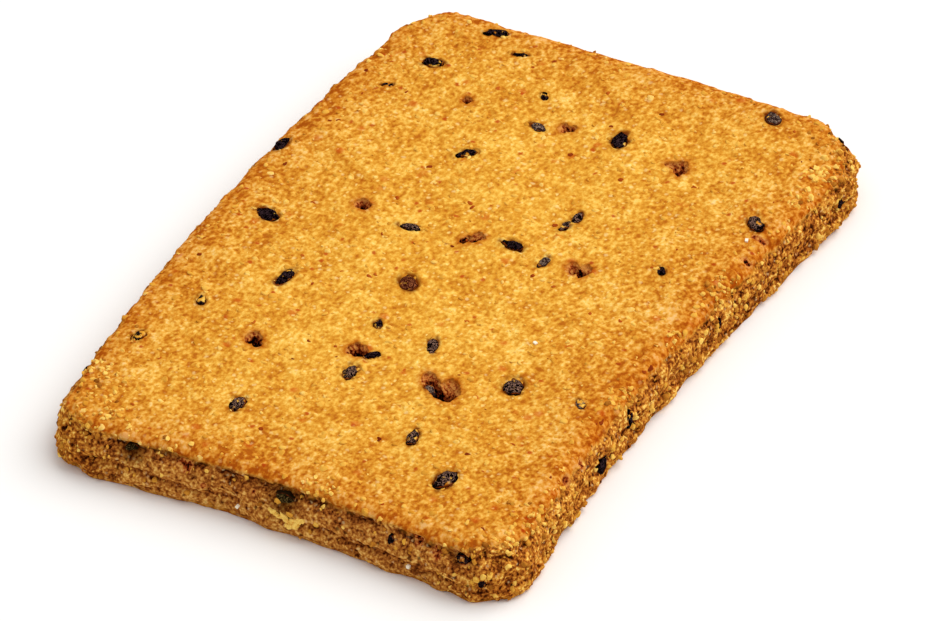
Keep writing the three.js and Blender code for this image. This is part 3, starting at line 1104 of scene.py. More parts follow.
@dataclass
class DoughSlab:
    """The whole slab of dough as one closed mesh, its pits cut in.

    Cells are counted along the length, across the width and up the wall. The underside has
    one cell for each underside_step of them. Sizes are millimetres, apart from those of the
    unfolded sheet, which are shares of its side.
    """

    cells_long: int = 316
    cells_wide: int = 208
    cells_high: int = 18
    underside_step: int = 4
    crowding: float = 0.12
    pit_sides: int = 72
    pit_rings: int = 10
    pit_lid: float = 0.8
    pit_lip: float = 0.15
    pit_slope: float = 1.2
    fold: float = 0.7
    skin_reach: float = 3.5
    underside_tone: float = 0.7
    skin_edge: Rolls = Rolls(((0.22, 1.3, 11), (0.28, 0.55, 12)))
    worn: tuple[Spot, ...] = (
        Spot(-33.5, -21.5, math.sqrt(11), 2.0),
        Spot(32.5, -21.5, math.sqrt(11), 1.2),
        Spot(-34, 21, math.sqrt(11), 0.4),
    )
    crumbly: tuple[Spot, ...] = (
        Spot(-34, 21, 5.0, 1.0),
        Spot(-33, -22, 5.2, 1.0),
        Spot(31.5, -22.5, 6.0, 1.0),
        Spot(34, 20, 5.0, 0.3),
    )
    skin_rolls: Rolls = Rolls(((0.035, 2.6, 21), (0.035, 1.1, 22)))
    skin_grain: Rolls = Rolls(((0.06, 0.48, 23),))
    skin_beads: Beads = Beads(0.8, 0.45, 0.1, 0.5, 24)
    skin_pores: Beads = Beads(1.7, 0.2, 0.2, 0.65, 30)
    wall_lumps: Rolls = Rolls(((0.08, 1.7, 43), (0.09, 0.8, 44), (0.075, 0.45, 45)))
    wall_beads: Beads = Beads(0.72, 0.5, 0.15, 0.45, 46)
    wall_pores: Beads = Beads(1.1, 0.33, 0.5, 0.66, 52)
    layer_breaks: Rolls = Rolls(((0.7, 0.9, 48), (0.7, 0.45, 50)))
    sheet_side: float = 71.5
    sheet_corner: tuple[float, float] = (35.6, 22.6)
    sheet_top: float = 0.69
    sheet_strip: float = 0.077
    sheet_right: float = 0.51

    def rim_walk(self) -> Array:
        """Grid places of the rim, counter-clockwise seen from above."""
        n, m = self.cells_long, self.cells_wide
        front = [(i, 0) for i in range(n)]
        right = [(n, j) for j in range(m)]
        back = [(i, m) for i in range(n, 0, -1)]
        left = [(0, j) for j in range(m, 0, -1)]
        return np.array(front + right + back + left)

    def top_points(self) -> Array:
        """Points of the top, its outermost ones on the wall's upper edge."""
        u, v = np.meshgrid(
            np.linspace(-1, 1, self.cells_long + 1),
            np.linspace(-1, 1, self.cells_wide + 1),
            indexing="ij",
        )
        u, v = u.ravel(), v.ravel()
        inset = FORM.rim_inset
        x, y = FORM.place(u, v, inset, self.crowding)
        inward = FORM.edge_distance(x, y) - inset
        height = FORM.thickness * FORM.rim_share
        torn = FORM.crag(x, y, height) * np.exp(-inward / 1.2)
        x, y = FORM.place(u, v, inset + torn, self.crowding)
        z = FORM.top_height(*FORM.place(u, v, inset, self.crowding))
        return np.stack([*FORM.bend(x, y), z], axis=-1)

    def wall_points(self, walk: Array) -> Array:
        """Points of the wall's rings, from the foot to just below the upper edge."""
        u = walk[:, 0] / self.cells_long * 2 - 1
        v = walk[:, 1] / self.cells_wide * 2 - 1
        rings = []
        for share in np.linspace(0, FORM.rim_share, self.cells_high + 1)[:-1]:
            inset = np.mean([FORM.wall_inset(share + d) for d in (-0.03, 0.0, 0.03)])
            x, y = FORM.place(u, v, inset, self.crowding)
            height = FORM.thickness * share
            torn = inset + FORM.crag(x, y, height)
            x, y = FORM.bend(*FORM.place(u, v, torn, self.crowding))
            rings.append(np.stack([x, y, np.full_like(x, height)], axis=-1))
        return np.concatenate(rings)

    def underside(self, walk: Array, first: int, foot: int) -> tuple[Array, list]:
        """The flat underside inside the foot ring.

        Args:
            walk: grid places of the rim.
            first: the index that its first new point gets.
            foot: the index of the foot ring's first point.

        Returns:
            Its new points, and its faces, seen from below.
        """
        step = self.underside_step
        n, m = self.cells_long // step, self.cells_wide // step
        ring = {tuple(place): foot + k for k, place in enumerate(walk)}
        inner = [(a, b) for a in range(1, n) for b in range(1, m)]
        index = {place: first + k for k, place in enumerate(inner)}
        a, b = np.array(inner).T
        x, y = FORM.place(a / n * 2 - 1, b / m * 2 - 1, 0.25, self.crowding)
        points = np.stack([*FORM.bend(x, y), np.zeros(len(a))], axis=-1)

        def run(start: tuple[int, int], end: tuple[int, int]) -> list[int]:
            """Points from one coarse corner up to the next, with the ring's own between."""
            on_rim = (start[0] == end[0] and start[0] in (0, n)) or (
                start[1] == end[1] and start[1] in (0, m)
            )
            steps = range(step) if on_rim else range(1)
            found = []
            for k in steps:
                place = tuple(start[c] * step + (end[c] - start[c]) * k for c in (0, 1))
                found.append(ring[place] if place in ring else index[start])
            return found

        faces = []
        for a, b in np.ndindex(n, m):
            corners = [(a, b), (a, b + 1), (a + 1, b + 1), (a + 1, b)]
            loop = [run(corners[k], corners[(k + 1) % 4]) for k in range(4)]
            faces.append(tuple(i for part in loop for i in part))
        return points, faces

    def smooth_form(self) -> tuple[Array, list]:
        """The slab before its crumb is torn: all points and all faces."""
        n, m = self.cells_long, self.cells_wide
        walk = self.rim_walk()
        count = len(walk)
        top = self.top_points()
        wall = self.wall_points(walk)
        foot = len(top)
        grid = np.arange((n + 1) * (m + 1)).reshape(n + 1, m + 1)
        cells = [grid[:-1, :-1], grid[1:, :-1], grid[1:, 1:], grid[:-1, 1:]]
        faces = [tuple(f) for f in np.stack(cells, axis=-1).reshape(-1, 4).tolist()]
        rings = [foot + r * count + np.arange(count) for r in range(self.cells_high)]
        rings.append(grid[walk[:, 0], walk[:, 1]])
        for low, high in zip(rings, rings[1:]):
            band = np.stack([low, np.roll(low, -1), np.roll(high, -1), high], axis=-1)
            faces += [tuple(f) for f in band.tolist()]
        under, under_faces = self.underside(walk, foot + len(wall), foot)
        return np.concatenate([top, wall, under]), faces + under_faces

    def flat_places(self, points: Array) -> tuple[Array, Array]:
        """The places of points before the slab bent."""
        return FORM.unbend(points[:, 0], points[:, 1])

    def torn_share(self, points: Array) -> Array:
        """1 on the torn walls, 0 on the top's skin, with a ragged line between them."""
        x, y = self.flat_places(points)
        inward = FORM.edge_distance(x, y)
        drop = FORM.thickness - points[:, 2]
        fold = self.fold * smoothstep(FORM.width / 2 - 3, FORM.width / 2 - 0.8, -y)
        fold *= 1 - smoothstep(FORM.length / 2 - 9, FORM.length / 2 - 2, np.abs(x))
        worn = sum(spot.near(x, y) for spot in self.worn)
        below = drop - inward + 0.25 - fold + self.skin_edge.relief(points) + worn
        return smoothstep(-0.25, 0.2, below) * (inward < self.skin_reach)

    def crumble(self, points: Array) -> Array:
        """How loosely the crumb holds: most at three corners and the wall towards -Y."""
        x, y = self.flat_places(points)
        found = np.max([spot.near(x, y) for spot in self.crumbly], axis=0)
        right_wall = smoothstep(FORM.width / 2 - 3.2, FORM.width / 2 - 0.8, -y)
        return np.clip(np.maximum(found, 0.8 * right_wall), 0, 1)

    def skin_relief(self, points: Array) -> Array:
        """Relief of the baked top: low rolls, grains that stand up and small pores."""
        fine = self.skin_grain.relief(points * (0.9, 1.05, 1))
        grains = self.skin_beads.relief(points)
        return self.skin_rolls.relief(points) + fine + grains - self.skin_pores.relief(points)

    def wall_relief(self, points: Array) -> Array:
        """Relief of the torn walls: split layers, lumps and the holes that crumbs left."""
        wander = 0.42 * rolling(points * (1, 1, 0.2), 7, 41)
        wander += 0.2 * rolling(points * (1, 1, 0.3), 2.2, 42)
        wander += 0.1 * rolling(points, 0.7, 40)
        height = points[:, 2] + wander
        broken = 0.9 + self.layer_breaks.relief(points)
        under_rim = -0.45 * hill(points[:, 2] + 0.3 * wander, 4.02, 0.32) * broken
        ledge, split = 0.14 * hill(height, 2.3, 0.32), -0.26 * hill(height, 1.6, 0.18)
        foot = 0.1 * hill(height, 0.8, 0.45)
        patchy = 0.75 + 0.7 * rolling(points * (1, 1, 0.3), 2.6, 47)
        layers = under_rim + patchy * (ledge + split + foot)
        loose = self.crumble(points)
        lumps = self.wall_lumps.relief(points) + self.wall_beads.relief(points)
        crumbled = lumps - self.wall_pores.relief(points)
        return (1 - 0.7 * loose) * layers + (0.75 + 0.75 * loose) * crumbled

    def gaps(self, points: Array) -> tuple[Array, Array]:
        """The pits that crumbs left in the near walls.

        Args:
            points: N by 3 places in the slab's own millimetres.

        Returns:
            How deep they are at each point, and how dark their painted shade is, from 0 to 1.
        """
        x, y = self.flat_places(points)
        depth, dark = np.zeros(len(points)), np.zeros(len(points))
        for pit in WALL_PITS:
            if pit.wall == "-x":
                along, inward = points[:, 1], FORM.length / 2 + x
            else:
                along, inward = points[:, 0], FORM.width / 2 + y
            sway = 0.3 * rolling(points, 0.4, 49)
            out = np.hypot(along - pit.along, points[:, 2] - pit.height) / pit.reach + sway
            near = np.exp(-(out**2)) * (inward < 3)
            depth += pit.depth * near
            dark = np.maximum(dark, pit.dark * np.clip(1.5 * near - 0.5, 0, 1))
        return depth, dark

    def relief(self, points: Array) -> Array:
        """Relief of the whole slab along its surface's normals, in millimetres."""
        torn = self.torn_share(points)
        loose = self.crumble(points)
        walls = self.wall_relief(points)
        skin = self.skin_relief(points) * (1 + 1.2 * loose)
        found = skin * (1 - torn) + walls * torn - self.gaps(points)[0]
        under = points[:, 2] < 1e-6
        return np.where(under, -self.gaps(points)[0], found)

    def seed_distance(self, seed: TopSeed, x: Array, y: Array) -> Array:
        """How far places are from a top seed's middle, 1 at its outline."""
        turn = math.radians(seed.heading)
        dx, dy = x - seed.x, y - seed.y
        along = (dx * math.cos(turn) + dy * math.sin(turn)) / (seed.length / 2)
        across = (dy * math.cos(turn) - dx * math.sin(turn)) / (seed.length * seed.slimness / 2)
        return np.hypot(along, across)

    def seed_beds(self, points: Array, lifted: Array) -> Array:
        """Lowers the skin round each top seed and raises a small lip outside it.

        Args:
            points: the smooth form's points.
            lifted: the points with their relief.

        Returns:
            The points with the seeds' beds.
        """
        x, y = self.flat_places(points)
        bedded = lifted.copy()
        for seed in TOP_SEEDS:
            out = self.seed_distance(seed, x, y)
            bed = -0.1 * hill(out, 0.95, 0.22) + 0.05 * hill(out, 1.5, 0.28)
            bedded[:, 2] += np.where(points[:, 2] > self.skin_reach, bed, 0)
        return bedded

    def mouth(self, hole: DockingHole, angle: Array) -> Array:
        """How far a hole's torn mouth reaches from its deepest place in each direction."""
        corners = np.array(hole.mouth)
        turns = np.arctan2(corners[:, 1], corners[:, 0])
        reach = np.interp(angle, turns, np.hypot(*corners.T), period=2 * math.pi)
        x, y = reach * np.cos(angle) + hole.x, reach * np.sin(angle) + hole.y
        rim = np.stack([x, y, reach], axis=-1)
        return reach * (1 + 0.1 * rolling(rim, 0.3, 61))

    def pit(self, hole: DockingHole) -> tuple[Array, list]:
        """A closed plug of the shape that a docking pin tore out, a crumbled funnel.

        Args:
            hole: the docking hole's sizes.

        Returns:
            The plug's points and faces.
        """
        angle = np.arange(self.pit_sides) / self.pit_sides * 2 * math.pi
        reach = self.mouth(hole, angle)
        x, y = reach * np.cos(angle), reach * np.sin(angle)
        rings = [np.stack([x, y, np.full_like(angle, self.pit_lid)], axis=-1)]
        for share in 1 - (np.arange(self.pit_rings) / self.pit_rings) ** 1.2:
            x, y = share * reach * np.cos(angle), share * reach * np.sin(angle)
            depth = self.pit_lip + (hole.depth - self.pit_lip) * (1 - share**self.pit_slope)
            rings.append(np.stack([x, y, np.full_like(x, -depth)], axis=-1))
        low = len(rings) * self.pit_sides
        rings.append(np.array([[0.0, 0.0, -hole.depth]]))
        points = np.concatenate(rings)
        points += np.array(self.hole_point(hole))
        deep = points[:, 2] < FORM.thickness - 0.2
        loose = min(1.0, float(reach.mean()))
        sways = [Rolls(((0.15, 0.5, seed), (0.15, 0.25, seed + 3))) for seed in (63, 64, 65)]
        crumbled = np.stack([sway.relief(points) for sway in sways], axis=-1)
        points += np.where(deep[:, None], loose * crumbled, 0)
        count = self.pit_sides
        faces = [tuple(range(count))]
        for ring in range(self.pit_rings):
            high, below = ring * count, (ring + 1) * count
            for k in range(count):
                after = (k + 1) % count
                faces.append((below + k, below + after, high + after, high + k))
        last = self.pit_rings * count
        faces += [(low, last + (k + 1) % count, last + k) for k in range(count)]
        return points, faces

    def hole_point(self, hole: DockingHole) -> tuple[float, float, float]:
        """The place of the top over a hole's deepest place."""
        x, y = FORM.bend(np.array(hole.x), np.array(hole.y))
        return float(x), float(y), float(FORM.top_height(np.array(hole.x), np.array(hole.y)))

    def cut_pits(self, slab: Object) -> None:
        """Takes the docking holes' plugs out of the slab.

        Args:
            slab: the slab's object, in its own measures.
        """
        for hole in HOLES + TEARS:
            plug = mesh_object("plug", *self.pit(hole), None)
            cut = slab.modifiers.new("docking", "BOOLEAN")
            cut.operation = "DIFFERENCE"
            cut.solver = "MANIFOLD"
            cut.object = plug
            graph = bpy.context.evaluated_depsgraph_get()
            mesh = bpy.data.meshes.new_from_object(slab.evaluated_get(graph))
            slab.modifiers.clear()
            slab.data = mesh
            bpy.data.objects.remove(plug)

    def hollows(self, points: Array) -> tuple[Array, Array]:
        """Finds the docking holes.

        Args:
            points: N by 3 places in the slab's own millimetres.

        Returns:
            How far down its hole each point lies, 1 where it is painted black as shade, and how
            near a mouth it is, 1 at the torn edge, which sets the painted shade round the mouth.
        """
        level = FORM.top_height(*self.flat_places(points))
        down, near = np.zeros(len(points)), np.zeros(len(points))
        for hole in HOLES + TEARS:
            middle_x, middle_y, _ = self.hole_point(hole)
            dx, dy = points[:, 0] - middle_x, points[:, 1] - middle_y
            past = np.hypot(dx, dy) - self.mouth(hole, np.arctan2(dy, dx))
            sunk = np.clip((level - points[:, 2] - 0.1) / hole.black, 0, 1)
            down = np.where(past < 0.3, np.maximum(down, sunk), down)
            edge = hill(np.clip(past, 0, None), 0, 0.4) * min(hole.depth, 1)
            near = np.maximum(near, edge)
        return down, near * (points[:, 2] > 3)

    def mark(self, mesh: Mesh, points: Array) -> None:
        """Stores what the finish reads: torn, crumbly, raised and toasted places, and where shade
        is painted in the holes and wall pits, round the holes' mouths and round the seeds.

        Args:
            mesh: the slab's mesh.
            points: its points in the slab's own millimetres.
        """
        x, y = self.flat_places(points)
        inward = FORM.edge_distance(x, y)
        torn = self.torn_share(points)
        under = points[:, 2] < 0.02
        raised = self.wall_relief(points) * torn / 0.3
        raised = raised + self.skin_relief(points) * (1 - torn) / 0.09
        toast = 0.35 * np.exp(-np.clip(inward - 0.8, 0, None) / 1.6) + 0.63 * np.exp(-inward / 8)
        down, near = self.hollows(points)
        marks = {
            "torn": np.where(under, 0, torn),
            "loose": self.crumble(points),
            "raised": np.where(under, 0, np.clip(raised, -1.5, 1.5)),
            "toast": np.where(under, self.underside_tone, toast * (1 - torn)),
            # Painted shade deep in the docking holes and in the wall pits.
            "pit": np.maximum(down, self.gaps(points)[1]),
            "mouth_shade": near,
            "seed_shade_and_smudge": self.seed_shades_and_smudges(points),
        }
        for name, values in marks.items():
            set_attribute(mesh, name, values)

    def seed_shades_and_smudges(self, points: Array) -> Array:
        """How much a seed beside it darkens the dough: painted shade in a ragged ring round each
        top seed, and a darker patch round each olive wall seed.
        """
        x, y = self.flat_places(points)
        on_skin, on_wall = np.zeros(len(points)), np.zeros(len(points))
        for seed in TOP_SEEDS:
            out = np.clip(self.seed_distance(seed, x, y) - 1.1, 0, None) / 0.32
            on_skin = np.maximum(on_skin, np.exp(-(out**2)))
        for seed in WALL_SEEDS:
            if seed.coat is Coat.OLIVE:
                middle, _ = wall_frame(seed.wall, seed.place, seed.share)
                out = np.linalg.norm(points - middle, axis=1) / (0.6 * seed.length)
                on_wall = np.maximum(on_wall, np.exp(-(out**2)))
        torn = self.torn_share(points)
        ragged = smoothstep(-0.5, 0.4, rolling(points, 0.45, 66))
        return on_wall * torn + on_skin * ragged * (1 - torn) * (points[:, 2] > self.skin_reach)

    def lay_out(self, mesh: Mesh, points: Array) -> None:
        """Unfolds the slab: top and underside from above, the four walls as strips.

        Args:
            mesh: the slab's mesh, with its normals ready.
            points: its points in the slab's own millimetres.
        """
        per_mm = 1 / self.sheet_side
        start_x, start_y = self.sheet_corner
        x, y = self.flat_places(points)
        half_x, half_y = FORM.length / 2, FORM.width / 2
        corner = np.zeros(len(mesh.loops), np.int64)
        mesh.loops.foreach_get("vertex_index", corner)
        size = np.zeros(len(mesh.polygons), np.int64)
        mesh.polygons.foreach_get("loop_total", size)
        found = {}
        for what in ("normal", "center"):
            values = np.zeros(len(mesh.polygons) * 3)
            mesh.polygons.foreach_get(what, values)
            found[what] = np.repeat(values.reshape(-1, 3), size, axis=0)
        normal, middle = found["normal"], found["center"] / MM + np.array(FORM.middle)
        px, py = points[corner, 0], points[corner, 1]
        uv = np.stack([(px + start_x) * per_mm, (py + start_y) * per_mm], axis=-1)
        under = (normal[:, 2] < -0.6) & (middle[:, 2] < 0.1)
        uv = np.where(under[:, None], uv / 2 + (0, self.sheet_top), uv)
        deep_x, deep_y = self.flat_places(middle)
        wall = (FORM.edge_distance(deep_x, deep_y) < 2.2) & (normal[:, 2] < 0.62) & ~under
        sides = (
            (half_x - deep_x, y[corner] + half_y),
            (half_x + deep_x, y[corner] + half_y),
            (half_y - deep_y, x[corner] + half_x),
            (half_y + deep_y, x[corner] + half_x),
        )
        nearest = np.argmin([gap for gap, _ in sides], axis=0)
        for row, (_, along) in enumerate(sides):
            strip_v = self.sheet_top + row * self.sheet_strip + points[corner, 2] * per_mm
            strip = np.stack([self.sheet_right + along * per_mm / 2, strip_v], axis=-1)
            uv = np.where((wall & (nearest == row))[:, None], strip, uv)
        layer = mesh.uv_layers.new(name="OFBake")
        layer.data.foreach_set("uv", uv.astype(np.float32).ravel())

    def whole(self, name: str, material: Material) -> Object:
        """The slab with its torn walls, its grain and its seed beds, before it is docked.

        Args:
            name: the object's name.
            material: the baked dough.

        Returns:
            The slab's object, in its own measures.
        """
        points, faces = self.smooth_form()
        slab = mesh_object(name, points, faces, material)
        normals = np.zeros(len(points) * 3)
        slab.data.vertices.foreach_get("normal", normals)
        lifted = points + normals.reshape(-1, 3) * self.relief(points)[:, None]
        lifted = self.seed_beds(points, lifted)
        foot = points[:, 2] < 1e-6
        lifted[:, 2] = np.where(foot, 0, np.maximum(lifted[:, 2], 0.03))
        set_points(slab.data, lifted)
        return slab

    def crumb_carrier(self, material: Material) -> Object:
        """The undocked slab, in the frame's place, that says where crumbs cling.

        Args:
            material: the baked dough.

        Returns:
            The carrier.
        """
        slab = self.whole("crumb_carrier", material)
        points = points_of(slab.data)
        torn = self.torn_share(points)
        loose = self.crumble(points)
        under = points[:, 2] < 0.45
        x, y = self.flat_places(points)
        patchy = smoothstep(-0.2, 0.6, rolling(points, 2.4, 64))
        inward = FORM.edge_distance(x, y)
        corner = loose * np.exp(-np.clip(inward - 1, 0, None) / 2.2)
        rim = 0.12 * np.exp(-np.clip(inward - 0.5, 0, None) / 0.8)
        walls = 0.14 + loose * (0.3 + 0.7 * patchy)
        grains = (rim + 1.5 * corner * patchy) * (1 - torn) + walls * torn
        past_long = smoothstep(FORM.length / 2 - 2, FORM.length / 2 - 0.8, x)
        past_long = past_long * smoothstep(-19, -14, y)
        past_wide = smoothstep(FORM.width / 2 - 2, FORM.width / 2 - 0.8, y)
        grains *= 1 - 0.9 * np.maximum(past_long, past_wide)
        set_attribute(slab.data, "grains", np.where(under, 0, grains))
        hollow = self.hollows(points)[1] > 0.6
        set_attribute(slab.data, "meal", np.where(under | hollow, 0, (1 - torn)))
        set_points(slab.data, points - np.array(FORM.middle))
        return slab

    def build(self, material: Material) -> Object:
        """Makes the docked slab.

        Args:
            material: the baked dough.

        Returns:
            The slab's object, in the frame's place.
        """
        slab = self.whole("dough", material)
        self.cut_pits(slab)
        final = points_of(slab.data)
        self.mark(slab.data, final)
        set_points(slab.data, final - np.array(FORM.middle))
        self.lay_out(slab.data, final)
        slab.data.shade_smooth()
        return slab


# --- seeds, crumbs, bran and sugar


@dataclass(frozen=True)
class Setting:
    """Where one small piece sits: its point, three half-sizes, turn and own named numbers."""

    point: Vector
    half_sizes: tuple[float, float, float]
    turn: tuple[float, float, float]
    marks: dict[str, float]


def wall_frame(wall: str, place: float, share: float) -> tuple[Array, Matrix]:
    """A point on a torn wall and the directions along, across and out of it.

    Args:
        wall: "-x", "+x", "-y" or "+y".
        place: place along the wall, from -1 to 1.
        share: height as a share of the slab's thickness.

    Returns:
        The point, and the directions as a matrix's columns.
    """
    edge = -1.0 if wall[0] == "-" else 1.0
    t = np.array([place - 0.05, place, place + 0.05])
    level = np.full(3, edge)
    u, v = (level, t) if wall[1] == "x" else (t, level)
    before, point, after = FORM.wall_points(u, v, np.full(3, share))
    along = Vector(after - before)
    along.z = 0
    along.normalize()
    outward = along.cross(Vector((0, 0, 1)))
    if outward.dot(Vector(point)) < 0:
        along, outward = -along, -outward
    return point, Matrix((along, outward.cross(along), outward)).transposed()


def settle(
    point: Array,
    directions: Matrix,
    heading: float,
    size: tuple[float, float, float],
    sunk: float,
    **marks: float,
) -> Setting:
    """Lays a small piece in a surface.

    Args:
        point: the surface's point in the slab's own measures, in millimetres.
        directions: along, across and out of the surface, as columns.
        heading: the piece's turn about the way out, in degrees.
        size: its length, width and height in millimetres.
        sunk: depth of its middle below the point, in millimetres.
        marks: its own named numbers.

    Returns:
        The setting, in the frame's place and in metres.
    """
    turn = (directions @ Matrix.Rotation(math.radians(heading), 3, "Z")).to_euler("XYZ")
    middle = Vector(point) - Vector(FORM.middle) - directions.col[2] * sunk
    return Setting(middle * MM, tuple(s / 2 * MM for s in size), tuple(turn), marks)


def top_point(x: float, y: float) -> Array:
    """The top's point for a place of the slab before it bent."""
    bent = FORM.bend(np.array(x), np.array(y))
    return np.array([*bent, FORM.top_height(np.array(x), np.array(y))])


def roughen(piece: Object, cell: float, depth: float, seed: int) -> None:
    """Dents a piece's surface at random.

    Args:
        piece: the plain mesh object.
        cell: distance between dents in millimetres.
        depth: their most in millimetres.
        seed: picks the pattern.
    """
    points = points_of(piece.data)
    push = np.stack([rolling(points, cell, seed + k) for k in range(3)], axis=-1)
    set_points(piece.data, points + depth * push)


@dataclass
class PlacedByHand:
    """A piece of many small ones, each with its own place: one shape set at every setting.

    The dents are given as cell and depth in millimetres, and seed.
    """

    name: str = ""
    seed: int = 3
    subdivisions: int = 3
    dents: Heights = ()

    def sizes(self) -> dict[str, float | int]:
        """The tree's named sizes."""
        return {"Seed": self.seed}

    def settings(self) -> list[Setting]:
        """Every small one's place."""
        return []

    def shape(self, recipe: ScatterRecipe) -> Node:
        """Adds the nodes that give one of them, about 1 m in radius."""
        inputs = {"Radius": 1.0, "Subdivisions": self.subdivisions}
        return recipe.node("GeometryNodeMeshIcoSphere", inputs)

    def carrier(self) -> Object:
        """A mesh of loose points that carries each one's size, turn and own numbers."""
        settings = self.settings()
        mesh = bpy.data.meshes.new(f"{self.name}_places")
        mesh.from_pydata([s.point for s in settings], [], [])
        set_attribute(mesh, "size", np.array([s.half_sizes for s in settings]))
        set_attribute(mesh, "turn", np.array([s.turn for s in settings]))
        for mark in settings[0].marks:
            set_attribute(mesh, mark, np.array([s.marks[mark] for s in settings]))
        return new_object(mesh.name, mesh)

    def build(self, material: Material) -> Object:
        """Makes the piece.

        Args:
            material: what it is made of.

        Returns:
            The piece.
        """
        recipe = ScatterRecipe(self.name, self.sizes())
        shape = self.shape(recipe)
        points = recipe.node("GeometryNodeMeshToPoints", {"Mesh": recipe.source["Geometry"]})
        kind = {"data_type": "FLOAT_VECTOR"}
        turn, size = (recipe.node(STORED, {"Name": n}, **kind).outputs[0] for n in ("turn", "size"))
        turned = recipe.node("FunctionNodeEulerToRotation", {0: turn})
        inputs = {"Points": points, "Instance": shape, "Rotation": turned, "Scale": size}
        instances = recipe.node("GeometryNodeInstanceOnPoints", inputs)
        piece = recipe.finish(self.carrier(), instances, material)
        for cell, depth, seed in self.dents:
            roughen(piece, cell, depth, seed)
        return piece


@dataclass
class ChiaSeeds(PlacedByHand):
    """All the seeds: plump ovals pointed at one end, two thirds sunk in the dough.

    Width and height are shares of the length, and so is the depth of the middle.
    """

    name: str = "chia_seeds"
    dents: Heights = ((0.4, 0.12, 75), (0.2, 0.05, 78))
    height: float = 0.5
    sink: float = 0.11
    wall_width: float = 0.6
    point_taper: float = 0.2
    show: float = 1.12

    def sizes(self) -> dict[str, float | int]:
        """The tree's named sizes."""
        return {"Point taper": self.point_taper, "Seed": self.seed}

    def settings(self) -> list[Setting]:
        """Every seed's place, from the same lists as the solid's."""
        found = []
        for seed in TOP_SEEDS:
            shown = seed.length * self.show
            size = (shown, shown * seed.slimness, seed.length * self.height)
            sunk = seed.length * self.sink + seed.sunk
            point = top_point(seed.x, seed.y)
            marks = {"coat": seed.coat.value, "cover": seed.cover, "torn": 0.0, "loose": 0.0}
            found.append(settle(point, FLAT, seed.heading, size, sunk, **marks))
        for seed in WALL_SEEDS + far_wall_seeds():
            size = (seed.length, seed.length * self.wall_width, seed.length * self.height)
            point, directions = wall_frame(seed.wall, seed.place, seed.share)
            sunk = seed.length * self.sink + seed.sunk
            loose = 0.8 if seed.wall == "-y" else 0.0
            marks = {"coat": seed.coat.value, "cover": seed.cover, "torn": 1.0, "loose": loose}
            found.append(settle(point, directions, seed.heading, size, sunk, **marks))
        return found

    def shape(self, recipe: ScatterRecipe) -> Node:
        """Adds the nodes of one seed, which also carries its height over the dough."""
        ball = recipe.node("GeometryNodeMeshUVSphere", {"Segments": 28, "Rings": 18, "Radius": 1.0})
        lying = {"Geometry": ball, "Rotation": (0.0, math.pi / 2, 0.0)}
        ball = recipe.node("GeometryNodeTransform", lying)
        place = recipe.node("GeometryNodeInputPosition")
        apart = recipe.node("ShaderNodeSeparateXYZ", {0: place})
        taper = recipe.node(MATH, {0: apart, 1: recipe.source["Point taper"]}, **MULTIPLY)
        slim = recipe.node(MATH, {0: 1.0, 1: taper}, operation="SUBTRACT")
        scale = recipe.node("ShaderNodeCombineXYZ", {0: 1.0, 1: slim, 2: slim})
        pointed = recipe.node("ShaderNodeVectorMath", {0: place, 1: scale}, **MULTIPLY)
        seed = recipe.node("GeometryNodeSetPosition", {"Geometry": ball, "Position": pointed})
        sunk = 2 * self.sink / self.height
        inputs = {"Value": apart.outputs[2], "From Min": sunk, "From Max": 1.0}
        lift = recipe.node(RANGE, inputs, clamp=False)
        inputs = {"Geometry": seed, "Name": "lift", "Value": lift}
        kind = {"data_type": "FLOAT", "domain": "POINT"}
        return recipe.node("GeometryNodeStoreNamedAttribute", inputs, **kind)


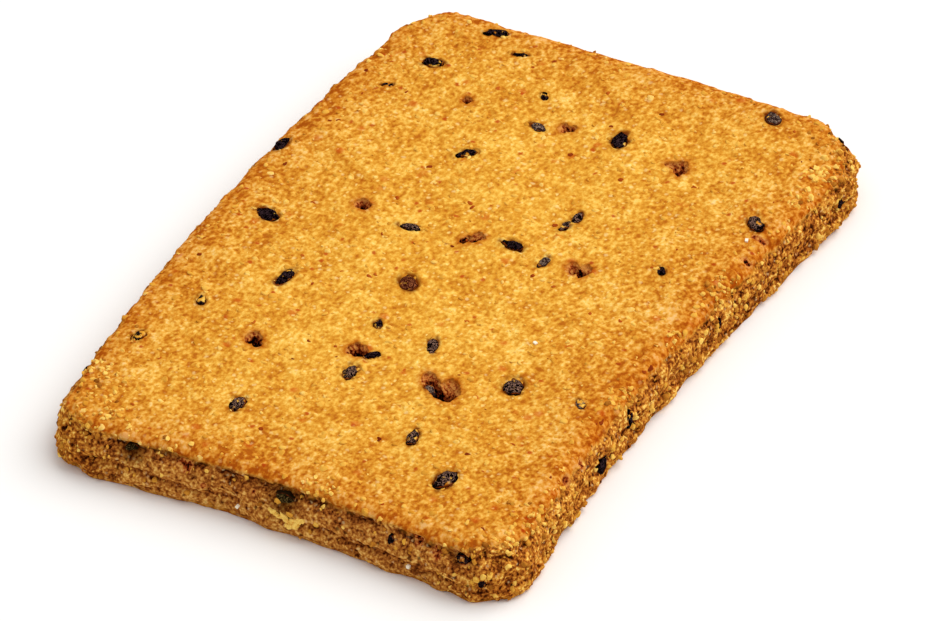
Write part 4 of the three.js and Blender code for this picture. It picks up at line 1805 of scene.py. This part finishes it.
@dataclass
class Grains:
    """Grains of crumb or meal that cling to the dough where it says that they do.

    Sizes are millimetres. The number is for each square millimetre where they are densest,
    and the fineness is the grain's own, 1 for twenty faces.
    """

    name: str = "crumb_grains"
    where: str = "grains"
    per_square_mm: float = 3.0
    least: float = 0.14
    most: float = 0.5
    rarity: float = 1.9
    shape: tuple[float, float, float] = (0.8, 0.8, 0.7)
    spread: float = 0.9
    fineness: int = 2
    tilt: float = HALF_TURN
    sunk: float = 0.0
    dents: float = 0.12
    dent_cell: float = 0.22
    tones: tuple[float, float] = (0.05, 0.95)
    seed: int = 5

    def sizes(self) -> dict[str, float | int]:
        """The tree's named sizes, in metres."""
        return {
            "Per square metre": self.per_square_mm / MM**2,
            "Least radius": self.least / 2 * MM,
            "Most radius": self.most / 2 * MM,
            "Rarity of large ones": self.rarity,
            "Sunk": self.sunk,
            "Seed": self.seed,
        }

    def draw(self, recipe: ScatterRecipe) -> dict[str, NodeSocket]:
        """Draws each grain's share of the largest size, its shape, its tilt and its tone.

        Args:
            recipe: the tree.

        Returns:
            The outputs that give them, by name.
        """
        fattest = tuple(side * (1 + self.spread) for side in self.shape)
        most = (self.tilt, self.tilt, HALF_TURN)
        limits = {
            "share": (0.0, 1.0),
            "shape": (self.shape, fattest),
            "tilt": (tuple(-angle for angle in most), most),
            "tone": self.tones,
        }
        drawn = {}
        for draw, (name, (low, high)) in enumerate(limits.items(), start=FIRST_DRAW):
            several = isinstance(low, tuple)
            seed = recipe.node(MATH, {0: recipe.source["Seed"], 1: float(draw)})
            first = 0 if several else 2
            inputs = {first: low, first + 1: high, "Seed": seed}
            kind = "FLOAT_VECTOR" if several else "FLOAT"
            made = recipe.node("FunctionNodeRandomValue", inputs, data_type=kind)
            drawn[name] = made.outputs[0 if several else 1]
        return drawn

    def build(self, skin: Object, material: Material) -> Object:
        """Scatters the grains.

        Args:
            skin: a copy of the undocked slab that carries where they cling.
            material: what they are made of.

        Returns:
            The piece.
        """
        recipe = ScatterRecipe(self.name, self.sizes())
        size = recipe.source
        where = recipe.node(STORED, {"Name": self.where}, data_type="FLOAT").outputs[0]
        inputs = {0: where, 1: size["Per square metre"]}
        dense = recipe.node(MATH, inputs, **MULTIPLY)
        inputs = {"Mesh": size["Geometry"], "Density": dense, "Seed": size["Seed"]}
        points = recipe.node("GeometryNodeDistributePointsOnFaces", inputs)
        drawn = self.draw(recipe)
        inputs = {0: drawn["share"], 1: size["Rarity of large ones"]}
        share = recipe.node(MATH, inputs, operation="POWER")
        inputs = {"Value": share, "To Min": size["Least radius"], "To Max": size["Most radius"]}
        radius = recipe.node(RANGE, inputs)
        inputs = {0: drawn["shape"], "Scale": radius}
        scale = recipe.node("ShaderNodeVectorMath", inputs, operation="SCALE")
        tilt = recipe.node("FunctionNodeEulerToRotation", {0: drawn["tilt"]})
        facing = {"Rotation": points.outputs["Rotation"], "Rotate By": tilt}
        turn = recipe.node("FunctionNodeRotateRotation", facing, rotation_space="LOCAL")
        depth = recipe.node(MATH, {0: radius, 1: size["Sunk"]}, **MULTIPLY)
        depth = recipe.node(MATH, {0: depth, 1: -1.0}, **MULTIPLY)
        inputs = {0: points.outputs["Normal"], "Scale": depth}
        inward = recipe.node("ShaderNodeVectorMath", inputs, operation="SCALE")
        bedded = recipe.node("GeometryNodeSetPosition", {"Geometry": points, "Offset": inward})
        inputs = {"Radius": 1.0, "Subdivisions": self.fineness}
        ball = recipe.node("GeometryNodeMeshIcoSphere", inputs)
        inputs = {"Points": bedded, "Instance": ball, "Rotation": turn, "Scale": scale}
        grains = recipe.node("GeometryNodeInstanceOnPoints", inputs)
        inputs = {"Geometry": grains, "Name": "tone", "Value": drawn["tone"]}
        kind = {"data_type": "FLOAT", "domain": "INSTANCE"}
        toned = recipe.node("GeometryNodeStoreNamedAttribute", inputs, **kind)
        piece = recipe.finish(skin, toned, material)
        roughen(piece, self.dent_cell, self.dents, 71)
        return piece


SKIN_GRAINS = Grains(
    name="skin_grains",
    where="meal",
    per_square_mm=0.5,
    least=0.2,
    most=0.6,
    rarity=1.8,
    shape=(0.8, 0.8, 0.35),
    fineness=2,
    tilt=0.3,
    sunk=0.2,
    dents=0.09,
    seed=6,
)


@dataclass(frozen=True)
class TopBit:
    """A husk or a grain in the top skin, in millimetres and degrees; tone 0 is darkest."""

    x: float
    y: float
    heading: float
    length: float
    width: float
    tone: float


BRAN_FLECKS = tuple(
    TopBit(*row)
    for row in (
        (-8.2, 9.0, 170, 0.8, 0.45, 0.35), (30.4, 7.3, 20, 0.8, 0.5, 0.3),
        (-25.1, -5.4, 40, 0.6, 0.5, 0.0), (10.8, -15.6, 80, 0.9, 0.6, 0.35),
        (-15.9, 5.6, 10, 0.6, 0.45, 0.2), (-18.5, 5.9, 60, 0.5, 0.4, 0.1),
        (0.7, 6.9, 30, 0.6, 0.4, 0.3), (6.5, 19.3, 0, 0.7, 0.4, 0.2),
        (2.3, 14.4, 120, 0.6, 0.4, 0.4),
        (21.8, 20.4, 40, 0.7, 0.4, 0.1), (18.7, 18.9, 10, 0.6, 0.4, 0.3),
        (-31.1, -18.1, 90, 0.7, 0.5, 0.2), (-3.9, -21.7, 30, 0.9, 0.5, 0.15),
        (-4.8, -21.5, 80, 0.6, 0.4, 0.4), (-12.6, -21.5, 20, 0.9, 0.5, 0.2),
        (-13.3, -21.2, 90, 0.6, 0.35, 0.35), (27.3, -18.7, 40, 0.8, 0.45, 0.2),
        (27.2, -19.7, 10, 0.7, 0.5, 0.1), (27.2, -20.3, 70, 0.7, 0.4, 0.3),
        (-1.0, -14.1, 30, 0.9, 0.5, 0.6), (-5.5, -19.3, 60, 0.8, 0.5, 0.5),
        (-0.2, -16.7, 10, 0.8, 0.5, 0.6), (8.2, 2.6, 50, 0.7, 0.45, 0.6),
        (7.6, -15.4, 20, 0.7, 0.5, 0.5), (21.0, -19.5, 70, 0.9, 0.5, 0.4),
        (19.5, -12.6, 100, 0.9, 0.6, 0.4), (-5.3, 5.0, 60, 0.8, 0.5, 0.5),
    )
)


@dataclass
class BranFlakes(PlacedByHand):
    """Thin bran husks in the skin: those that the photograph shows, and small ones between.

    Sizes are millimetres.
    """

    name: str = "bran_flakes"
    seed: int = 7
    dents: Heights = ((0.25, 0.07, 81),)
    thickness: float = 0.16
    proud: float = 0.03
    small_count: int = 80
    small_least: float = 0.3
    small_most: float = 0.65

    def flecks(self) -> list[TopBit]:
        """The named flecks and the drawn ones."""
        draw = np.random.default_rng(17)
        found = list(BRAN_FLECKS)
        for _ in range(self.small_count):
            x = draw.uniform(-33, 33)
            y = draw.uniform(-21.3, 21.3)
            length = draw.uniform(self.small_least, self.small_most)
            width = length * draw.uniform(0.45, 0.9)
            found.append(TopBit(x, y, draw.uniform(0, 180), length, width, draw.uniform(0.1, 1.0)))
        return found

    def settings(self) -> list[Setting]:
        """Every husk's place."""
        found = []
        for fleck in self.flecks():
            size = (fleck.length, fleck.width, self.thickness)
            sunk = self.thickness / 2 - self.proud
            point = top_point(fleck.x, fleck.y)
            found.append(settle(point, FLAT, fleck.heading, size, sunk, tone=fleck.tone))
        return found


@dataclass(frozen=True)
class WallLump:
    """A larger crumb on a torn wall: where, its three sizes in millimetres, and its tone."""

    wall: str
    place: float
    share: float
    heading: float
    size: tuple[float, float, float]
    tone: float


CURL = ((0.043, 0.42), (0.016, 0.35), (-0.012, 0.28), (-0.033, 0.22), (-0.051, 0.3), (-0.066, 0.42))

WALL_LUMPS = tuple(
    WallLump(*row)
    for row in (
        ("-y", 0.08, 0.53, 20, (0.9, 0.6, 0.45), 0.95),
        ("-y", 0.1, 0.62, 60, (0.6, 0.45, 0.4), 0.85),
        ("-y", 0.14, 0.46, 0, (0.6, 0.5, 0.45), 0.8), ("-y", 0.26, 0.5, 30, (0.7, 0.5, 0.4), 0.75),
        ("-y", -0.12, 0.3, 0, (0.8, 0.6, 0.4), 0.8), ("-y", 0.41, 0.4, 70, (0.7, 0.6, 0.5), 0.7),
        ("-x", -0.13, 0.86, 80, (0.5, 0.3, 0.35), 0.8),
        ("-x", -0.132, 0.78, 60, (0.4, 0.28, 0.3), 0.9),
        ("-x", -0.126, 0.73, 90, (0.3, 0.2, 0.25), 0.8),
    )
)

PALE_GRAINS = tuple(
    TopBit(*row)
    for row in (
        (0.4, -17.1, 20, 0.5, 0.4, 0.95), (-0.1, -17.9, 70, 0.45, 0.35, 0.9),
        (2.1, -14.9, 40, 0.5, 0.35, 0.95), (7.3, -0.9, 0, 0.5, 0.4, 0.9),
        (-5.3, -14.3, 60, 0.45, 0.4, 0.95), (-3.1, -17.7, 10, 0.5, 0.35, 0.9),
        (31.9, 13.2, 80, 0.5, 0.4, 0.95), (14.1, 6.0, 30, 0.6, 0.35, 1.0),
        (14.3, 6.4, 100, 0.45, 0.3, 0.95), (13.9, 5.6, 60, 0.4, 0.3, 0.9),
        (23.9, -21.5, 40, 0.9, 0.6, 0.95), (-33.2, -3.2, 10, 0.6, 0.4, 0.8),
        (-33.4, -4.1, 50, 0.7, 0.4, 0.9), (-32.8, -2.5, 80, 0.5, 0.4, 0.75),
        (-32.7, -4.6, 30, 0.5, 0.35, 0.8), (26.3, -19.4, 40, 0.8, 0.55, 0.9),
        (26.1, -20.7, 10, 0.8, 0.6, 0.85), (24.5, -20.9, 70, 0.7, 0.5, 0.95),
        (27.7, -20.5, 20, 0.6, 0.5, 0.8), (28.8, -21.2, 50, 0.6, 0.45, 0.9),
        (-26.5, 21.2, 60, 0.5, 0.4, 0.9), (-27.0, 19.9, 10, 0.6, 0.45, 0.95),
        (-28.0, 20.6, 40, 0.5, 0.45, 0.85), (-29.2, 18.0, 30, 0.5, 0.4, 0.95),
        (-30.1, 19.8, 70, 0.6, 0.4, 0.9), (-32.0, 20.3, 20, 0.55, 0.45, 0.95),
    )
)


@dataclass(frozen=True)
class CrumbCluster:
    """Pale crumbs that lie together on the rim: their middle and reach in millimetres."""

    x: float
    y: float
    reach: float
    count: int


CRUMB_CLUSTERS = tuple(
    CrumbCluster(*row)
    for row in (
        (-26.2, 21.1, 1.0, 16), (-31.4, 17.2, 0.8, 10), (27.0, -20.9, 0.9, 26),
        (22.3, -20.8, 0.8, 16), (-33.1, -2.8, 0.7, 12), (0.9, -21.9, 0.6, 12),
        (9.2, -21.8, 0.7, 14),
        (-30.9, -20.7, 0.9, 22), (-27.3, -21.7, 0.7, 16), (-33.9, 11.0, 0.8, 8),
        (-7.8, -21.9, 0.6, 12), (-28.4, 19.2, 1.1, 14), (-31.2, 18.3, 0.8, 10),
        (-32.8, 15.2, 0.6, 8),
    )
)


@dataclass
class LargerCrumbs(PlacedByHand):
    """The larger crumbs that show one by one, among them a thin curl lifted from a split.

    Sizes are millimetres.
    """

    name: str = "larger_crumbs"
    seed: int = 9
    dents: Heights = ((0.3, 0.11, 91), (0.14, 0.05, 95))
    sunk: float = 0.05
    grain_height: float = 0.35
    curl_pieces: int = 44
    curl_lift: float = 0.14
    least: float = 0.22
    most: float = 0.58

    def curl(self) -> list[WallLump]:
        """The curl, as a bow of frayed crumbs that overlap and thicken towards its middle."""
        draw = np.random.default_rng(23)
        corners = np.array(CURL)
        found = []
        for k in range(self.curl_pieces):
            t = k / (self.curl_pieces - 1)
            at = t * (len(CURL) - 1)
            place = np.interp(at, np.arange(len(CURL)), corners[:, 0]) + draw.uniform(-0.004, 0.004)
            inside = 0.16 * math.sin(math.pi * t) * draw.uniform(-0.1, 1.0)
            share = np.interp(at, np.arange(len(CURL)), corners[:, 1]) + inside
            size = (draw.uniform(0.4, 0.7), draw.uniform(0.26, 0.42), draw.uniform(0.25, 0.4))
            heading, tone = draw.uniform(-50, 50), draw.uniform(0.8, 1.1)
            found.append(WallLump("-x", place, share, heading, size, tone))
        return found

    def clustered(self) -> list[TopBit]:
        """The crumbs of every cluster that lie on the top."""
        draw = np.random.default_rng(31)
        found = []
        for cluster in CRUMB_CLUSTERS:
            for _ in range(cluster.count):
                x, y = draw.normal((cluster.x, cluster.y), cluster.reach)
                length = draw.uniform(self.least, self.most)
                width = length * draw.uniform(0.55, 0.95)
                heading, tone = draw.uniform(0, 180), draw.uniform(0.7, 1.05)
                if FORM.edge_distance(x, y) > 0.9:
                    found.append(TopBit(x, y, heading, length, width, tone))
        return found

    def settings(self) -> list[Setting]:
        """Every crumb's place."""
        found = []
        for lumps, sunk in ((self.curl(), -self.curl_lift), (WALL_LUMPS, self.sunk)):
            for lump in lumps:
                point, directions = wall_frame(lump.wall, lump.place, lump.share)
                lying = (lump.heading, lump.size, sunk)
                found.append(settle(point, directions, *lying, tone=lump.tone))
        for grain in (*PALE_GRAINS, *self.clustered()):
            size = (grain.length, grain.width, self.grain_height)
            point = top_point(grain.x, grain.y)
            found.append(settle(point, FLAT, grain.heading, size, self.sunk, tone=grain.tone))
        return found


@dataclass
class SugarCrystals(PlacedByHand):
    """The few pale sugar crystals that catch the light, in millimetres and degrees."""

    name: str = "sugar_crystals"
    seed: int = 11
    side: float = 0.34
    top_sunk: float = 0.02
    wall_proud: float = 0.06
    on_top: tuple[tuple[float, float, float], ...] = ((15.3, -20.2, 20), (-6.9, -11.9, 65))
    on_walls: tuple[tuple[float, float, float], ...] = ((-0.45, 0.3, -180), (0.152, 0.28, 60.8))

    def settings(self) -> list[Setting]:
        """Every crystal's place."""
        found = []
        for x, y, turn in self.on_top:
            size = (self.side * 1.4, self.side, self.side)
            found.append(settle(top_point(x, y), FLAT, turn, size, self.top_sunk, tone=0.9))
        for place, share, turn in self.on_walls:
            frame_there = wall_frame("-x", place, share)
            size = (self.side,) * 3
            found.append(settle(*frame_there, turn, size, -self.wall_proud, tone=0.8))
        return found

    def shape(self, recipe: ScatterRecipe) -> Node:
        """Adds the node of one crystal."""
        return recipe.node("GeometryNodeMeshCube", {"Size": (1.6, 1.6, 1.6)})

    def build(self, material: Material) -> Object:
        """Makes the crystals, with flat sides."""
        piece = super().build(material)
        piece.data.shade_flat()
        return piece


# --- the studio


@dataclass(frozen=True)
class Studio:
    """A plain pale floor, soft light and the camera at the photograph's viewing angle.

    Angles are in degrees and lengths in metres, but the floor's gap below the object in
    millimetres. The lens and the shift give the photograph's frame, 926 by 621.
    """

    azimuth: float = -62.003
    elevation: float = 37.622
    distance: float = 1.0
    lens: float = 450.3
    sensor: float = 36.0
    shift_x: float = -0.00674
    shift_y: float = 0.01052
    floor_side: float = 12.0
    floor_colour: str = "#f4f2ee"
    sky_colour: str = "#f5f5f7"
    sky_strength: float = 0.73
    key_power: float = 13.6
    key_size: float = 1.3
    key_azimuth: float = 50.0
    key_elevation: float = 55.0
    key_distance: float = 1.2
    floor_gap: float = 0.05
    floor_roughness: float = 0.9

    def direction(self, azimuth: float, elevation: float) -> Vector:
        """The way from the object to a camera or a light that stands there."""
        a, e = math.radians(azimuth), math.radians(elevation)
        return Vector((math.sin(a) * math.cos(e), -math.cos(a) * math.cos(e), math.sin(e)))

    def camera(self) -> Object:
        """Makes the camera and gives it to the scene."""
        data = bpy.data.cameras.new("camera")
        data.lens, data.sensor_width = self.lens, self.sensor
        data.shift_x, data.shift_y = self.shift_x, self.shift_y
        data.clip_start, data.clip_end = 0.01, 100
        made = new_object("camera", data)
        back = self.direction(self.azimuth, self.elevation)
        a = math.radians(self.azimuth)
        right = Vector((math.cos(a), math.sin(a), 0))
        turn = Matrix((right, back.cross(right), back)).transposed()
        place = back * self.distance - Vector(FORM.middle) * MM
        made.matrix_world = Matrix.Translation(place) @ turn.to_4x4()
        bpy.context.scene.camera = made
        return made

    def lamp(self, name: str, azimuth: float, elevation: float, power: float, size: float) -> None:
        """Adds a square soft light that faces the object.

        Args:
            name: the light's name.
            azimuth: where it stands round the object.
            elevation: how high it stands.
            power: its power in watts.
            size: its side.
        """
        data = bpy.data.lights.new(name, "AREA")
        data.energy = power
        data.size = size
        made = new_object(name, data)
        toward = self.direction(azimuth, elevation)
        turn = toward.to_track_quat("Z", "Y").to_matrix().to_4x4()
        made.matrix_world = Matrix.Translation(toward * self.key_distance) @ turn
        made.visible_camera = False

    def floor(self) -> None:
        """Lays the floor just under the object."""
        h = self.floor_side / 2 / MM
        plan = ((-h, -h), (h, -h), (h, h), (-h, h))
        corners = np.array([(x, y, -self.floor_gap) for x, y in plan])
        material = bpy.data.materials.new("pale_paper")
        material.use_nodes = True
        shader = material.node_tree.nodes["Principled BSDF"]
        shader.inputs["Base Color"].default_value = linear(self.floor_colour)
        shader.inputs["Roughness"].default_value = self.floor_roughness
        mesh_object("floor", corners, [(0, 1, 2, 3)], material)

    def sky(self) -> None:
        """Fills the shadows with pale light from all round."""
        world = bpy.data.worlds.new("sky")
        world.use_nodes = True
        ground = world.node_tree.nodes["Background"]
        ground.inputs["Color"].default_value = linear(self.sky_colour)
        ground.inputs["Strength"].default_value = self.sky_strength
        bpy.context.scene.world = world

    def build(self) -> None:
        """Sets up all of it."""
        self.camera()
        self.floor()
        self.sky()
        self.lamp("key", self.key_azimuth, self.key_elevation, self.key_power, self.key_size)
        bpy.context.scene.view_settings.view_transform = "Standard"


def main() -> None:
    """Builds the cracker's pieces in order and dresses the frame with them."""
    dough = BakedDough().build()
    crumb = DryCrumb().build()
    slab = DoughSlab()
    pieces = [
        slab.build(dough),
        ChiaSeeds().build(ChiaCoat(BakedDough()).build()),
        Grains().build(slab.crumb_carrier(dough), crumb),
        SKIN_GRAINS.build(slab.crumb_carrier(dough), MEAL.build()),
        LargerCrumbs().build(crumb),
        BranFlakes().build(WHEAT_BRAN.build()),
        SugarCrystals().build(SUGAR.build()),
    ]
    for piece in pieces:
        declare(piece)
    Studio().build()


if __name__ == "__main__":
    main()
